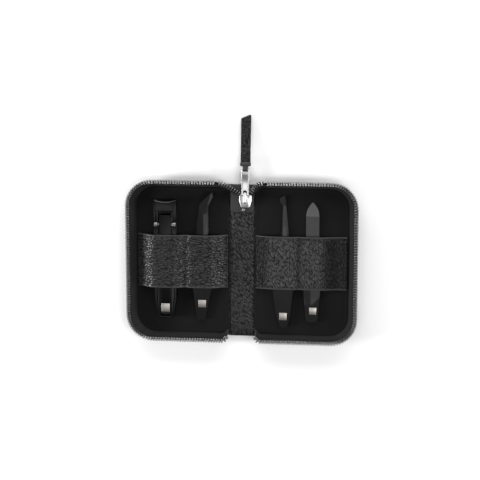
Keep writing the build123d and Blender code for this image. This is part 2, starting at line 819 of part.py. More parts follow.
def file_blade():
    """A flat blade with a pointed tip and a narrower tang inside the handle."""
    half = blade_wide / 2
    middle = file_x + blade_side
    shoulder = foot_y - file_tip_gap - tip_long
    left = (middle - half, shoulder)
    right = (middle + half, shoulder)
    tip = (middle, shoulder + tip_long)
    tang = tang_wide / 2
    tang_end = handle_top - tang_long
    outline = Polyline(right, (middle + half, handle_top), (middle + tang, handle_top), (middle + tang, tang_end),
                       (middle - tang, tang_end), (middle - tang, handle_top), (middle - half, handle_top), left)
    side = half / 2 + tip_bulge
    bulge_y = shoulder + tip_long / 2 + tip_bulge
    outline += ThreePointArc(left, (middle - side, bulge_y), tip)
    outline += ThreePointArc(tip, (middle + side, bulge_y), right)
    return slab(make_face(outline), blade_low, blade_thick)


def nail_file():
    blade = file_blade()
    at = (file_x + file_inlay_side, handle_tail + file_inlay_back)
    plate = inlay(at, file_inlay, handle_thick)
    return file_handle() - blade - plate, blade, plate


# --- assembly ---

nodes = {
    "spine_cover": spine_layer(0, cover_thick),
    "spine_board": spine_layer(cover_thick, spine_board_thick, board_inset),
    "spine_lining": spine_layer(cover_thick + spine_board_thick, lining_thick),
    "zip_end_tape": end_tape(),
    "zip_bottom_stop": bottom_stop(),
    "slider_body": slider_body(),
    "slider_bridge": slider_bridge(),
    "puller": puller(),
}
nodes |= strap_pieces()

for side_name, side in (("left", -1), ("right", 1)):
    nodes[f"{side_name}_tail_tape"] = tail_tape(side)
    nodes[f"{side_name}_tail_teeth"] = Compound(children=tail_teeth(side))

for name, piece in half_shells().items():
    nodes[f"right_{name}"] = piece
    nodes[f"left_{name}"] = mirrored(piece)

row = teeth_row()
nodes["left_zip_teeth"] = Compound(children=[mirrored(one) for one in row])
nodes["right_zip_teeth"] = Compound(children=row)

over_tweezers = hump(tweezers_x, tweezers_wide, band_gap, tweezers_height())
over_clipper = hump(clipper_x, clipper_wide, band_gap, axle_z + axle_head)
over_pusher = hump(pusher_x, pusher_wide, flat_side_gap, pusher_thick)
over_file = hump(file_x, handle_wide, flat_side_gap, handle_thick)
nodes["left_band"] = mirrored(band(over_tweezers, over_clipper, left_dip, left_sewn))
nodes["right_band"] = band(over_pusher, over_file, right_dip, right_sewn)

nodes["clipper_body"] = at_clipper(clipper_body())
nodes["clipper_upper_jaw"] = at_clipper(upper_jaw())
nodes["clipper_rivet"] = at_clipper(clipper_rivet())
nodes["clipper_axle"] = at_clipper(clipper_axle())
nodes["clipper_lever"] = at_clipper(clipper_lever())
nodes["clipper_inlay"] = at_clipper(inlay(clipper_inlay_at, clipper_inlay, jaw_top))

lower_leg, upper_leg, leg_plate = tweezers()
nodes["tweezers_lower_leg"] = in_case(lower_leg)
nodes["tweezers_upper_leg"] = in_case(upper_leg)
nodes["tweezers_inlay"] = in_case(leg_plate)

pusher_body, pusher_plate = pusher()
nodes["cuticle_pusher"] = in_case(pusher_body)
nodes["pusher_inlay"] = in_case(pusher_plate)

handle, blade, file_plate = nail_file()
nodes["file_handle"] = in_case(handle)
nodes["file_blade"] = in_case(blade)
nodes["file_inlay"] = in_case(file_plate)

os.makedirs("parts", exist_ok=True)
for name, piece in nodes.items():
    export_step(piece, f"parts/{name}.step")
print(f"{len(nodes)} nodes, rim at {rim_top:.2f}, strap rests at {strap_rest:.2f} degrees")
print(f"puller pivot at y {pivot_y:.2f}, z {pivot_z:.2f}")
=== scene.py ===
import math

import bmesh
import bpy
from mathutils import Matrix, Vector


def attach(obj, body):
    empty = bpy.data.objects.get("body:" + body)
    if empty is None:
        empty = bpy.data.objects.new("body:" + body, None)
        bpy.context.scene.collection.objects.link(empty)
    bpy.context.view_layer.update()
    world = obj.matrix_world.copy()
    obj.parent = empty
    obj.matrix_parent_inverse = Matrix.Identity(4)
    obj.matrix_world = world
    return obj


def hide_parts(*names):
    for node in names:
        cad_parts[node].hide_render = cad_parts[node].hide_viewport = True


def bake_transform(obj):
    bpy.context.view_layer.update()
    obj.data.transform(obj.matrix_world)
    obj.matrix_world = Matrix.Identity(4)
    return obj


# A zip-round leather manicure case, open on its back, with four black steel tools.
# Sizes in the dictionaries are millimetres, as a maker would read them off the case.

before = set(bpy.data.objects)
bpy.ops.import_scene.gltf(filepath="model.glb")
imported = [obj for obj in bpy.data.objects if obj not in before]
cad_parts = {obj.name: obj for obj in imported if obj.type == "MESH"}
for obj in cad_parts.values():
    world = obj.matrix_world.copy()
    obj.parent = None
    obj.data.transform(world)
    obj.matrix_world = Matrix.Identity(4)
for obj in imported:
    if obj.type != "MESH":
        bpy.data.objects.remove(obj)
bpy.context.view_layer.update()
mm = 0.001
bodyOfHalf = {"left": "left_half", "right": "right_half"}


# camera, light and floor

cameraSet = {
    "target": (-1.42, 15.2, 3.5),
    "towards": (0.126, 0.18, 1.0),  # from the target to the camera
    "distance": 1000.0,
    "frameWide": 340.3,  # what the picture shows across, at the target
    "sensorWide": 36.0,
    "farClip": 20000.0,
}
lightSet = {
    "worldStrength": 0.14,
    "panels": [  # place, size across and up, brightness
        ((-90, -30, 700), (320, 480), 1.7),  # overhead, where flat faces mirror it
        ((360, -80, 620), (190, 400), 7.0),  # over the right shoulder, for the tools' right facets
        ((0, 900, 400), (1600, 500), 5.0),  # far behind
        ((-630, -90, 225), (210, 210), 32.0),  # low from the left, for the leather's left slopes
        ((640, -80, 150), (320, 160), 16.0),  # low from the right, for the left wall
    ],
    "panelTarget": (0, 0, 0),
}
floorSet = {"size": 4000.0, "tone": 0.86, "below": 0.02}


def clearSelection():
    if bpy.context.object and bpy.context.object.mode != "OBJECT":
        bpy.ops.object.mode_set(mode="OBJECT")
    bpy.ops.object.select_all(action="DESELECT")


def makeActive(piece):
    clearSelection()
    piece.select_set(True)
    bpy.context.view_layer.objects.active = piece


def addObject(name, data):
    piece = bpy.data.objects.new(name, data)
    bpy.context.scene.collection.objects.link(piece)
    return piece


def setCamera():
    target = Vector(cameraSet["target"]) * mm
    away = Vector(cameraSet["towards"]).normalized()
    data = bpy.data.cameras.new("camera")
    camera = addObject("camera", data)
    camera.location = target + away * cameraSet["distance"] * mm
    side = Vector((0, 1, 0)).cross(away).normalized()
    up = away.cross(side)
    turn = Matrix((side, up, away)).transposed().to_4x4()
    camera.matrix_world = Matrix.Translation(camera.location) @ turn
    data.sensor_width = cameraSet["sensorWide"]
    data.lens = cameraSet["sensorWide"] * cameraSet["distance"] / cameraSet["frameWide"]
    data.clip_end = cameraSet["farClip"] * mm
    bpy.context.scene.camera = camera


def setLights():
    world = bpy.data.worlds.new("studio")
    bpy.context.scene.world = world
    world.use_nodes = True
    background = world.node_tree.nodes["Background"]
    background.inputs[0].default_value = (1, 1, 1, 1)
    background.inputs[1].default_value = lightSet["worldStrength"]
    for number, (place, size, brightness) in enumerate(lightSet["panels"]):
        data = bpy.data.lights.new(f"panel{number}", "AREA")
        data.shape = "RECTANGLE"
        data.size, data.size_y = size[0] * mm, size[1] * mm
        data.energy = brightness * math.pi * data.size * data.size_y
        lamp = addObject(f"panel{number}", data)
        lamp.location = Vector(place) * mm
        aim = Vector(lightSet["panelTarget"]) * mm - lamp.location
        lamp.rotation_euler = aim.to_track_quat("-Z", "Y").to_euler()


setCamera()
setLights()
bpy.context.scene.view_settings.view_transform = "Standard"
print("camera and lights set")


# shader arithmetic


class Wire:
    # a shader socket that can stand in plain arithmetic
    def __init__(self, tree, socket=None):
        self.tree = tree
        self.socket = socket

    def make(self, kind, settings, links, output=0):
        node = self.tree.nodes.new(kind)
        for key, value in settings.items():
            setattr(node, key, value)
        for key, value in links.items():
            if isinstance(value, Wire):
                self.tree.links.new(value.socket, node.inputs[key])
            else:
                node.inputs[key].default_value = value
        return Wire(self.tree, node.outputs[output])

    def maths(self, operation, first, second):
        return self.make("ShaderNodeMath", {"operation": operation}, {0: first, 1: second})

    def __add__(self, other):
        return self.maths("ADD", self, other)

    def __radd__(self, other):
        return self.maths("ADD", other, self)

    def __sub__(self, other):
        return self.maths("SUBTRACT", self, other)

    def __rsub__(self, other):
        return self.maths("SUBTRACT", other, self)

    def __mul__(self, other):
        return self.maths("MULTIPLY", self, other)

    def __rmul__(self, other):
        return self.maths("MULTIPLY", other, self)


def newFinish(name, constants):
    # a material, its shader and its object coordinates; constants go on the shader's own sockets
    material = bpy.data.materials.new(name)
    material.use_nodes = True
    shader = material.node_tree.nodes["Principled BSDF"]
    for key, value in constants.items():
        shader.inputs[key].default_value = value
    wire = Wire(material.node_tree)
    coords = wire.make("ShaderNodeTexCoord", {}, {}, "Object")
    return material, shader, coords


def feed(shader, socket, wire):
    wire.tree.links.new(wire.socket, shader.inputs[socket])


def tones(wire, low, high):
    # a colour between two, by a mask of 0 to 1
    return wire.make("ShaderNodeMix", {"data_type": "RGBA"}, {0: wire, 6: low, 7: high}, 2)


def stretched(coords, turn, stretch, cell):
    # coordinates turned about Z and scaled, so that one unit is one cell
    return coords.make("ShaderNodeMapping", {"vector_type": "TEXTURE"}, {
        "Vector": coords,
        "Rotation": (0, 0, math.radians(turn)),
        "Scale": [cell * mm * s for s in stretch],
    })


def noise(coords, scale, detail=2.0, rough=0.5, output=0):
    return coords.make("ShaderNodeTexNoise", {}, {
        "Vector": coords, "Scale": scale, "Detail": detail, "Roughness": rough,
    }, output)


def wave(coords, direction, scale, distortion, **more):
    return coords.make("ShaderNodeTexWave", {"bands_direction": direction}, {
        "Vector": coords, "Scale": scale, "Distortion": distortion, **more,
    })


def mapped(wire, low, high, least=0.0, kind="SMOOTHSTEP"):
    # the wire's range from low to high, as least to 1
    return wire.make("ShaderNodeMapRange", {"interpolation_type": kind}, {
        "Value": wire, "From Min": low, "From Max": high, "To Min": least,
    })


def raised(height, distance, strength=1.0):
    # a bump, as deep as distance in millimetres
    return height.make("ShaderNodeBump", {}, {"Strength": strength, "Distance": distance * mm, "Height": height})


def grey(tone, warm=0.0):
    return (tone * (1 + warm), tone, tone * (1 - warm), 1)


# finishes

leatherSet = {
    "low": 0.006,
    "high": 0.016,
    # the grooves' near-black colour is painted shade
    "grooveShadeTone": 0.002,
    "cell": 2.0,
    "relief": 0.40,
    "wander": 0.9,  # how far the pebbles' outlines stray
    "domeFrom": 0.42,  # distance from the groove at which a pebble's top is reached
    "grooveWide": 0.17,
    "grooveGloss": 0.12,  # how much of the gloss is left in a groove
    "domeShare": 0.62,
    "smallShare": 0.2,
    "creaseShare": 0.6,
    "poreShare": 0.07,
    "foldLonger": 2.2,  # a crease's length beside a pebble's, along its longer side
    "glossShift": -0.07,
}


def leatherFinish(name, turn, stretch=(1.0, 1.0, 1.0), relief=1.0, cell=1.0, gloss=0.42, tone=1.0,
                  specular=0.5, wander=1.0, valleyShade=None):
    # pebbled leather: glossy domed cells with dull grooves between them, painted darker as shade, small pores and
    # long creases
    # valley shade: two heights and the share of gloss below them; lower down more of the dark groove shader is
    # mixed in, a painted shade on the leather's low parts
    material, shader, coords = newFinish(name, {"Specular IOR Level": specular})
    size = leatherSet["cell"] * cell
    place = stretched(coords, turn, stretch, size)
    drift = noise(place, 0.5, 3.0, 0.55, 1)
    bent = coords.make("ShaderNodeVectorMath", {"operation": "MULTIPLY_ADD"}, {
        0: drift, 1: [leatherSet["wander"] * wander] * 3, 2: place,
    })
    edge = coords.make("ShaderNodeTexVoronoi", {"feature": "DISTANCE_TO_EDGE"}, {"Vector": bent, "Scale": 1.0})
    hollow = 1 - mapped(edge, 0.0, leatherSet["domeFrom"], kind="LINEAR")
    dome = 1 - hollow * hollow
    small = coords.make("ShaderNodeTexVoronoi", {"feature": "SMOOTH_F1"}, {"Vector": bent, "Scale": 2.6})
    pores = noise(place, 9.0, 3.0, 0.6)
    longer = leatherSet["foldLonger"]
    across = stretch[0] > stretch[1]
    folds = (stretch[0] * (longer if across else 1.0), stretch[1] * (1.0 if across else longer), stretch[2])
    creases = noise(stretched(coords, turn, folds, size), 0.8, 3.0, 0.6)
    groove = mapped(edge + creases * 0.12 - 0.06, 0.0, leatherSet["grooveWide"])
    height = dome * leatherSet["domeShare"] + small * leatherSet["smallShare"]
    height = height + creases * leatherSet["creaseShare"] + pores * leatherSet["poreShare"]
    bump = raised(height, leatherSet["relief"] * relief)
    feed(shader, "Normal", bump)
    patches = noise(coords, 60.0, 3.0)
    feed(shader, "Base Color", tones(patches, grey(leatherSet["low"] * tone), grey(leatherSet["high"] * tone)))
    feed(shader, "Roughness", gloss + leatherSet["glossShift"] + pores * 0.10 + patches * 0.10)
    # a dull shader mixed into the grooves; its dark colour is painted shade
    dullGrooveShade = coords.make("ShaderNodeBsdfPrincipled", {}, {
        "Base Color": grey(leatherSet["grooveShadeTone"]), "Roughness": 0.9, "Specular IOR Level": 0.1, "Normal": bump,
    })
    share = groove * (1 - leatherSet["grooveGloss"]) + leatherSet["grooveGloss"]
    if valleyShade:
        low, high, least = valleyShade
        # below these heights the dark dull shader takes more of the mix: painted shade in the valleys
        heightAt = coords.make("ShaderNodeSeparateXYZ", {}, {"Vector": coords}, 2)
        share = share * mapped(heightAt, low * mm, high * mm, least)
    mixed = coords.make("ShaderNodeMixShader", {}, {0: share, 1: dullGrooveShade, 2: Wire(coords.tree, shader.outputs[0])})
    feed(material.node_tree.nodes["Material Output"], "Surface", mixed)
    return material


def smoothLeatherFinish(name):
    # the thin leather of the walls and turned edges
    material, shader, coords = newFinish(name, {"Specular IOR Level": 0.5})
    grain = noise(coords, 1700.0, 4.0, 0.65)
    broad = noise(coords, 90.0, 3.0)
    feed(shader, "Normal", raised(grain + broad * 1.5, 0.07, 0.8))
    feed(shader, "Base Color", tones(grain * 0.6 + broad * 0.4, grey(0.010), grey(0.024)))
    feed(shader, "Roughness", 0.46 + grain * 0.16 + broad * 0.08)
    return material


def suedeFinish(name):
    material, shader, coords = newFinish(name, {
        "Specular IOR Level": 0.12, "Sheen Weight": 0.03, "Sheen Roughness": 0.6,
    })
    nap = noise(coords, 2600.0, 3.0, 0.7)
    strokes = noise(stretched(coords, 24.0, (3.0, 1.0, 1.0), 9.0), 1.0, 3.0, 0.6)
    feed(shader, "Normal", raised(nap + strokes * 0.5, 0.09, 0.9))
    feed(shader, "Base Color", tones(nap * 0.35 + strokes * 0.65, grey(0.0025), grey(0.0065)))
    feed(shader, "Roughness", 0.84 + nap * 0.14)
    return material


def tapeFinish(name):
    # ribbed zip tape: fine ribs round the wall, and slanting threads across them
    material, shader, coords = newFinish(name, {"Specular IOR Level": 0.08, "Sheen Weight": 0.02})
    ribs = wave(coords, "Z", 310.0, 0.6, **{"Detail": 2.0, "Detail Scale": 2.0})
    threads = wave(coords, "DIAGONAL", 420.0, 0.8, Detail=2.0)
    lint = noise(coords, 900.0, 3.0, 0.6)
    weave = ribs * 0.55 + threads * 0.35 + lint * 0.3
    feed(shader, "Normal", raised(weave, 0.10, 0.9))
    feed(shader, "Base Color", tones(weave, grey(0.006), grey(0.021)))
    feed(shader, "Roughness", 0.62 + lint * 0.25)
    return material


def boardFinish(name):
    # pressed board, dyed dark
    material, shader, coords = newFinish(name, {})
    fibre = noise(stretched(coords, 0.0, (2.5, 2.5, 0.4), 0.5), 1.0, 4.0, 0.7)
    feed(shader, "Base Color", tones(fibre, grey(0.012, 0.05), grey(0.035, 0.08)))
    feed(shader, "Roughness", 0.78 + fibre * 0.18)
    feed(shader, "Normal", raised(fibre, 0.05))
    return material


def metalFinish(name, tone, rough, brushed, worn, warm=0.0, streak=(1.0, 22.0, 1.0)):
    # steel: brushing lines, fine scratches and slightly rubbed patches
    material, shader, coords = newFinish(name, {"Metallic": 1.0})
    lines = noise(stretched(coords, 0.0, streak, 0.32), 1.0, 3.0, 0.6)
    rubbed = noise(coords, 140.0, 3.0, 0.6)
    grain = noise(coords, 5200.0, 2.0, 0.6)
    feed(shader, "Base Color", tones(rubbed * 0.7 + lines * 0.3, grey(tone, warm), grey(tone * (1 + worn), warm)))
    feed(shader, "Roughness", rough + lines * brushed + rubbed * 0.08 - 0.04)
    feed(shader, "Normal", raised(lines * 0.7 + grain * 0.5, 0.012, 0.6))
    return material


def gritFinish(name, tone, rough):
    # the fine grit of the nail file
    material, shader, coords = newFinish(name, {"Metallic": 0.6, "Specular IOR Level": 0.5})
    grains = coords.make("ShaderNodeTexVoronoi", {"feature": "F1"}, {"Vector": coords, "Scale": 4200.0})
    cross = wave(coords, "DIAGONAL", 480.0, 1.0)
    lint = noise(coords, 380.0, 3.0)
    feed(shader, "Base Color", tones(grains * 0.8 + lint * 0.4, grey(tone * 0.8), grey(tone * 1.5)))
    feed(shader, "Roughness", rough + grains * 0.25)
    feed(shader, "Normal", raised(grains + cross * 0.25, 0.06))
    return material


def threadFinish(name):
    material, shader, coords = newFinish(name, {"Specular IOR Level": 0.2, "Sheen Weight": 0.02})
    twist = wave(coords, "DIAGONAL", 900.0, 0.4)
    feed(shader, "Base Color", tones(twist, grey(0.012), grey(0.045)))
    feed(shader, "Roughness", 0.5 + twist * 0.2)
    feed(shader, "Normal", raised(twist, 0.05))
    return material


def floorFinish(name):
    material, shader, coords = newFinish(name, {"Specular IOR Level": 0.2})
    cloud = noise(coords, 3.0, 2.0)
    tone = floorSet["tone"]
    feed(shader, "Base Color", tones(cloud, grey(tone), grey(min(tone * 1.04, 0.95))))
    feed(shader, "Roughness", 0.7 + cloud * 0.1)
    return material


finishes = {
    "leftBandLeather": leatherFinish("leather of the left band", 4.0, (2.0, 0.85, 1.0), cell=0.9, gloss=0.36),
    # the right band is painted darker on its low parts, between and beside the tools, as shade
    "rightBandLeather": leatherFinish("leather of the right band", 4.0, (0.62, 2.2, 1.0), cell=0.82, gloss=0.38,
                                      tone=0.95, specular=0.42, wander=0.7, valleyShade=(6.2, 7.9, 0.4)),
    "spineLeather": leatherFinish("leather of the spine", -58.0, (2.2, 0.8, 1.0), cell=0.9),
    "coverLeather": leatherFinish("leather of the cover", 12.0, (1.15, 1.0, 1.0), relief=0.9),
    # the strap's leather is coloured darker (tone 0.6) as painted shade, to offset the extra light it gets outside
    # the walls
    "strapLeather": leatherFinish("leather of the strap", 20.0, relief=1.6, cell=0.8, gloss=0.38, tone=0.6,
                                  specular=0.34),
    "smoothLeather": smoothLeatherFinish("smooth leather"),
    "suede": suedeFinish("suede lining"),
    "tape": tapeFinish("zip tape"),
    "board": boardFinish("pressed board"),
    "zipMetal": metalFinish("zip metal", tone=0.10, rough=0.24, brushed=0.10, worn=1.5),
    "chrome": metalFinish("polished chrome", tone=0.56, rough=0.25, brushed=0.06, worn=0.10),
    "blackSteel": metalFinish("black steel", tone=0.015, rough=0.27, brushed=0.10, worn=0.5),
    "pinSteel": metalFinish("pin steel", tone=0.16, rough=0.34, brushed=0.12, worn=0.4),
    "inlaySteel": metalFinish("inlay steel", tone=0.33, rough=0.32, brushed=0.14, worn=0.2, warm=0.06,
                              streak=(18.0, 1.0, 1.0)),
    "grit": gritFinish("file grit", tone=0.036, rough=0.45),
    "fineGrit": gritFinish("fine file grit", tone=0.068, rough=0.42),
    "thread": threadFinish("sewing thread"),
    "floor": floorFinish("white table"),
}
print(f"{len(finishes)} finishes made")


# modelling helpers

mergeSet = {"made": 0.001, "node": 0.002, "flatAngle": 0.8}  # merge distances, and degrees that still count as flat


def addFloor():
    clearSelection()
    bpy.ops.mesh.primitive_plane_add(size=floorSet["size"] * mm, location=(0, 0, -floorSet["below"] * mm))
    floor = bpy.context.object
    floor.name = "floor"
    floor.data.materials.append(finishes["floor"])


def sizeTo(name, scale):
    # names the new primitive and gives it its size
    piece = bpy.context.object
    piece.name = name
    piece.scale = scale
    bpy.ops.object.transform_apply(location=True, rotation=True, scale=True)
    return piece


def addBlock(name, low, high):
    clearSelection()
    bpy.ops.mesh.primitive_cube_add(size=1, location=[(a + b) / 2 * mm for a, b in zip(low, high)])
    return sizeTo(name, [(b - a) * mm for a, b in zip(low, high)])


def addSheet(name, near, far, end, z):
    # a flat sheet from near to far along X, and from -end to end along Y
    clearSelection()
    bpy.ops.mesh.primitive_plane_add(size=1, location=((near + far) / 2 * mm, 0, z * mm))
    return sizeTo(name, ((far - near) * mm, 2 * end * mm, 1))


def openWhole(piece):
    # opens the piece in edit mode with all of it selected
    makeActive(piece)
    bpy.ops.object.mode_set(mode="EDIT")
    bpy.ops.mesh.select_all(action="SELECT")


def openFor(piece, kind):
    # opens the piece in edit mode with nothing selected
    makeActive(piece)
    bpy.ops.object.mode_set(mode="EDIT")
    bpy.ops.mesh.select_mode(type=kind)
    bpy.ops.mesh.select_all(action="DESELECT")
    return bmesh.from_edit_mesh(piece.data)


def leaveEdit():
    bpy.ops.object.mode_set(mode="OBJECT")


def pickFaces(piece, test):
    # opens the piece in edit mode with the faces that pass the test selected
    mesh = openFor(piece, "FACE")
    for face in mesh.faces:
        if test(face.calc_center_median() / mm, face.normal):
            face.select_set(True)
    bmesh.update_edit_mesh(piece.data)


def pickEdges(piece, test):
    # the same for edges, by the places of their two ends
    mesh = openFor(piece, "EDGE")
    for edge in mesh.edges:
        if test(*[v.co / mm for v in edge.verts]):
            edge.select_set(True)
    bmesh.update_edit_mesh(piece.data)


def pickVertices(piece, test):
    # the same for vertices
    mesh = openFor(piece, "VERT")
    for vertex in mesh.verts:
        if test(vertex.co / mm):
            vertex.select_set(True)
    mesh.select_flush_mode()
    bmesh.update_edit_mesh(piece.data)


def cutAcross(piece, place, normal):
    # cuts all faces along a plane and keeps both sides
    openWhole(piece)
    bpy.ops.mesh.bisect(plane_co=[at * mm for at in place], plane_no=normal)
    leaveEdit()


def flipFaces(piece):
    openWhole(piece)
    bpy.ops.mesh.flip_normals()
    leaveEdit()


def finishWith(piece, kind, **settings):
    makeActive(piece)
    modifier = piece.modifiers.new(kind, kind)
    for key, value in settings.items():
        setattr(modifier, key, value)
    bpy.ops.object.modifier_apply(modifier=modifier.name)


def roundEdges(piece, width, steps=2, angle=35.0, smooth=40.0, clamp=False):
    finishWith(piece, "BEVEL", width=width * mm, segments=steps, limit_method="ANGLE",
               angle_limit=math.radians(angle), use_clamp_overlap=clamp, miter_outer="MITER_ARC")
    smoothOver(piece, smooth)


def smoothOver(piece, angle=40.0):
    makeActive(piece)
    bpy.ops.object.shade_smooth_by_angle(angle=math.radians(angle))


def joinPieces(pieces, name):
    clearSelection()
    for piece in pieces:
        piece.select_set(True)
    bpy.context.view_layer.objects.active = pieces[0]
    bpy.ops.object.join()
    joined = bpy.context.object
    joined.name = name
    return joined


def copiesAt(model, places, name):
    # copies of one small model, each with its own mesh, joined
    copies = []
    for number, matrix in enumerate(places):
        twin = copyPiece(model, f"{name}{number}")
        twin.data.transform(matrix)
        copies.append(twin)
    return joinPieces(copies, name)


def recalcNormals(piece):
    openWhole(piece)
    bpy.ops.mesh.remove_doubles(threshold=mergeSet["made"] * mm)
    bpy.ops.mesh.normals_make_consistent(inside=False)
    leaveEdit()


def copyPiece(piece, name):
    return addObject(name, piece.data.copy())


def turnOver(piece, name):
    # the mirrored twin on the left
    twin = copyPiece(piece, name)
    twin.data.transform(Matrix.Scale(-1, 4, (1, 0, 0)))
    flipFaces(twin)
    return twin


def leftOnly(piece):
    # puts the mirrored twin in the piece's place, under its name
    name = piece.name
    twin = turnOver(piece, name)
    bpy.data.objects.remove(piece)
    twin.name = name
    return twin


def nodeCopy(nodeName, name):
    # a merged copy of a node
    piece = copyPiece(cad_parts[nodeName], name)
    piece.data.materials.clear()
    openWhole(piece)
    bpy.ops.mesh.remove_doubles(threshold=mergeSet["node"] * mm)
    leaveEdit()
    return piece


def wholeFaces(piece):
    # joins the triangles of each flat face
    openWhole(piece)
    bpy.ops.mesh.dissolve_limited(angle_limit=math.radians(mergeSet["flatAngle"]))
    leaveEdit()


def putOn(piece, finish, body=None, nodes=()):
    # gives the piece its finish, its body and the nodes that it stands for
    piece.data.materials.clear()
    piece.data.materials.append(finishes[finish])
    if body:
        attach(piece, body)
    if nodes:
        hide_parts(*nodes)
    return piece


def bothHalves(right, finish, node):
    # puts the right piece and its mirrored twin on their halves
    left = turnOver(right, right.name.replace("right", "left"))
    for side, piece in (("right", right), ("left", left)):
        putOn(piece, finish, bodyOfHalf[side], [f"{side}_{node}"])


def secondFinish(piece, finish, test):
    # gives the faces that pass the test another finish
    piece.data.materials.append(finishes[finish])
    for face in piece.data.polygons:
        if test(face.center / mm, face.normal):
            face.material_index = len(piece.data.materials) - 1


addFloor()


# walls: rounded outlines at several heights, bridged and given their thickness

wallSet = {
    "near": 10.8,
    "far": 75.9,
    "end": 53.0,
    "sideFlare": 5.0,
    "endFlare": 3.5,
    "footCorner": 14.0,
    "rimCorner": 17.5,
    "innerCorner": 4.0,
    "leanFrom": 3.5,
    "tapeTop": 9.85,
    "returnTo": 53.4,  # the bottom end of the row, beside the spine
    "topStop": 16.9,  # the free end of the top wall
    "footStop": 11.8,  # the same of its foot, under the zip tail
    "mouthDrop": 3.4,  # how far the wall's bottom end slants over its height
    "mouthNear": 0.6,  # the wall beside the spine, up to this far out from near
    "cornerSteps": 9,
    "tapeHeights": (1.25, 3.5, 5.6, 7.7),
    "gussetHeights": (1.2, 3.5, 5.4),
    "gussetRound": 0.28,
    "tapeThick": 0.6,
    "tapeRise": 0.75,  # tape's beaded edge inside the teeth
    "gussetThick": 1.0,
    "gussetTop": 7.4,
}


def outlineRing(grow, z):
    lean = max(z - wallSet["leanFrom"], 0) / (wallSet["tapeTop"] - wallSet["leanFrom"])
    near = wallSet["near"] - grow
    far = wallSet["far"] + wallSet["sideFlare"] * lean + grow
    end = wallSet["end"] + wallSet["endFlare"] * lean + grow
    outer = wallSet["footCorner"] + (wallSet["rimCorner"] - wallSet["footCorner"]) * lean + grow
    inner = wallSet["innerCorner"] + grow
    ring = addSheet("ring", near, far, end, z)
    middle = (near + far) / 2
    for test, radius in ((lambda at: at.x > middle, outer), (lambda at: at.x < near + 0.01, inner)):
        pickVertices(ring, test)
        bpy.ops.mesh.bevel(offset=radius * mm, segments=wallSet["cornerSteps"], affect="VERTICES", profile=0.5)
    leaveEdit()
    return ring


def bridgedWall(name, grow, heights):
    # a standing wall through the outlines at the given heights
    wall = joinPieces([outlineRing(grow, z) for z in heights], name)
    pickFaces(wall, lambda at, normal: True)
    bpy.ops.mesh.delete(type="ONLY_FACE")
    leaveEdit()
    for low, high in zip(heights, heights[1:]):
        pickEdges(wall, lambda a, b: abs(a.z - b.z) < 0.01 and min(abs(a.z - low), abs(a.z - high)) < 0.01)
        bpy.ops.mesh.bridge_edge_loops(interpolation="LINEAR")
        leaveEdit()
    recalcNormals(wall)
    middle = (wallSet["near"] + wallSet["far"]) / 2
    if sum(face.normal.x for face in wall.data.polygons if face.center.x / mm > middle) < 0:
        flipFaces(wall)
    return wall


def openMouth(wall):
    # cuts the wall away beside the spine: slanting at the bottom end, square at the top end above its sewn foot
    low = wallSet["leanFrom"]
    rise = wallSet["tapeTop"] - low
    slant = wallSet["mouthDrop"] / rise
    for above, stop in ((True, wallSet["topStop"]), (False, wallSet["footStop"])):
        pickFaces(wall, lambda at, normal: at.y > 0 and (at.z > low) == above)
        bpy.ops.mesh.bisect(plane_co=(stop * mm, 0, 0), plane_no=(-1, 0, 0))
        leaveEdit()
        pickFaces(wall, lambda at, normal: at.y > 0 and (at.z > low) == above and at.x < stop)
        bpy.ops.mesh.delete(type="FACE")
        leaveEdit()
    nearest = wallSet["near"] + wallSet["mouthNear"]
    pickFaces(wall, lambda at, normal: at.x < nearest)
    bpy.ops.mesh.bisect(plane_co=(0, -wallSet["returnTo"] * mm, wallSet["tapeTop"] * mm),
                        plane_no=Vector((0, 1, slant)).normalized(), clear_outer=True)
    leaveEdit()


def makeWalls():
    rim = wallSet["tapeTop"]
    tape = bridgedWall("right_tape_wall", 0.0, [*wallSet["tapeHeights"], rim, rim + wallSet["tapeRise"]])
    openMouth(tape)
    finishWith(tape, "SOLIDIFY", thickness=wallSet["tapeThick"] * mm, offset=1.0)
    smoothOver(tape, 50)
    heights = [*wallSet["gussetHeights"], wallSet["gussetTop"]]
    gusset = bridgedWall("right_leather_wall", wallSet["tapeThick"], heights)
    openMouth(gusset)
    finishWith(gusset, "SOLIDIFY", thickness=wallSet["gussetThick"] * mm, offset=1.0)
    roundEdges(gusset, wallSet["gussetRound"], 2, 60, 50)
    bothHalves(tape, "tape", "zip_tape")
    bothHalves(gusset, "smoothLeather", "gusset")


makeWalls()
print("walls made")


# covers, linings and the spine

panelSet = {
    "start": 9.15,
    "coverThick": 1.2,
    "coverOut": 1.6,
    "coverRound": 0.55,
    "liningLow": 2.7,
    "liningTop": 3.5,
    "liningIn": 0.1,
    "seamIn": 2.3,
    "seamWide": 0.5,
    "seamDeep": 0.22,
    "seamRise": 0.85,  # share of the seam's depth that the field inside it comes back up
    "liningRound": 0.12,
    "cornerSteps": 12,
}


def halfPanel(name, low, high, grow):
    # a flat layer of the right half, as a rounded sheet with thickness
    start = panelSet["start"]
    panel = addSheet(name, start, wallSet["far"] + grow, wallSet["end"] + grow, low)
    pickVertices(panel, lambda at: at.x > start + 1)
    bpy.ops.mesh.bevel(offset=(wallSet["footCorner"] + grow) * mm, segments=panelSet["cornerSteps"],
                       affect="VERTICES", profile=0.5)
    bpy.ops.mesh.select_mode(type="FACE")
    bpy.ops.mesh.select_all(action="SELECT")
    bpy.ops.mesh.extrude_region_move(TRANSFORM_OT_translate={"value": (0, 0, (high - low) * mm)})
    bpy.ops.mesh.select_all(action="SELECT")
    bpy.ops.mesh.normals_make_consistent(inside=False)
    leaveEdit()
    return panel


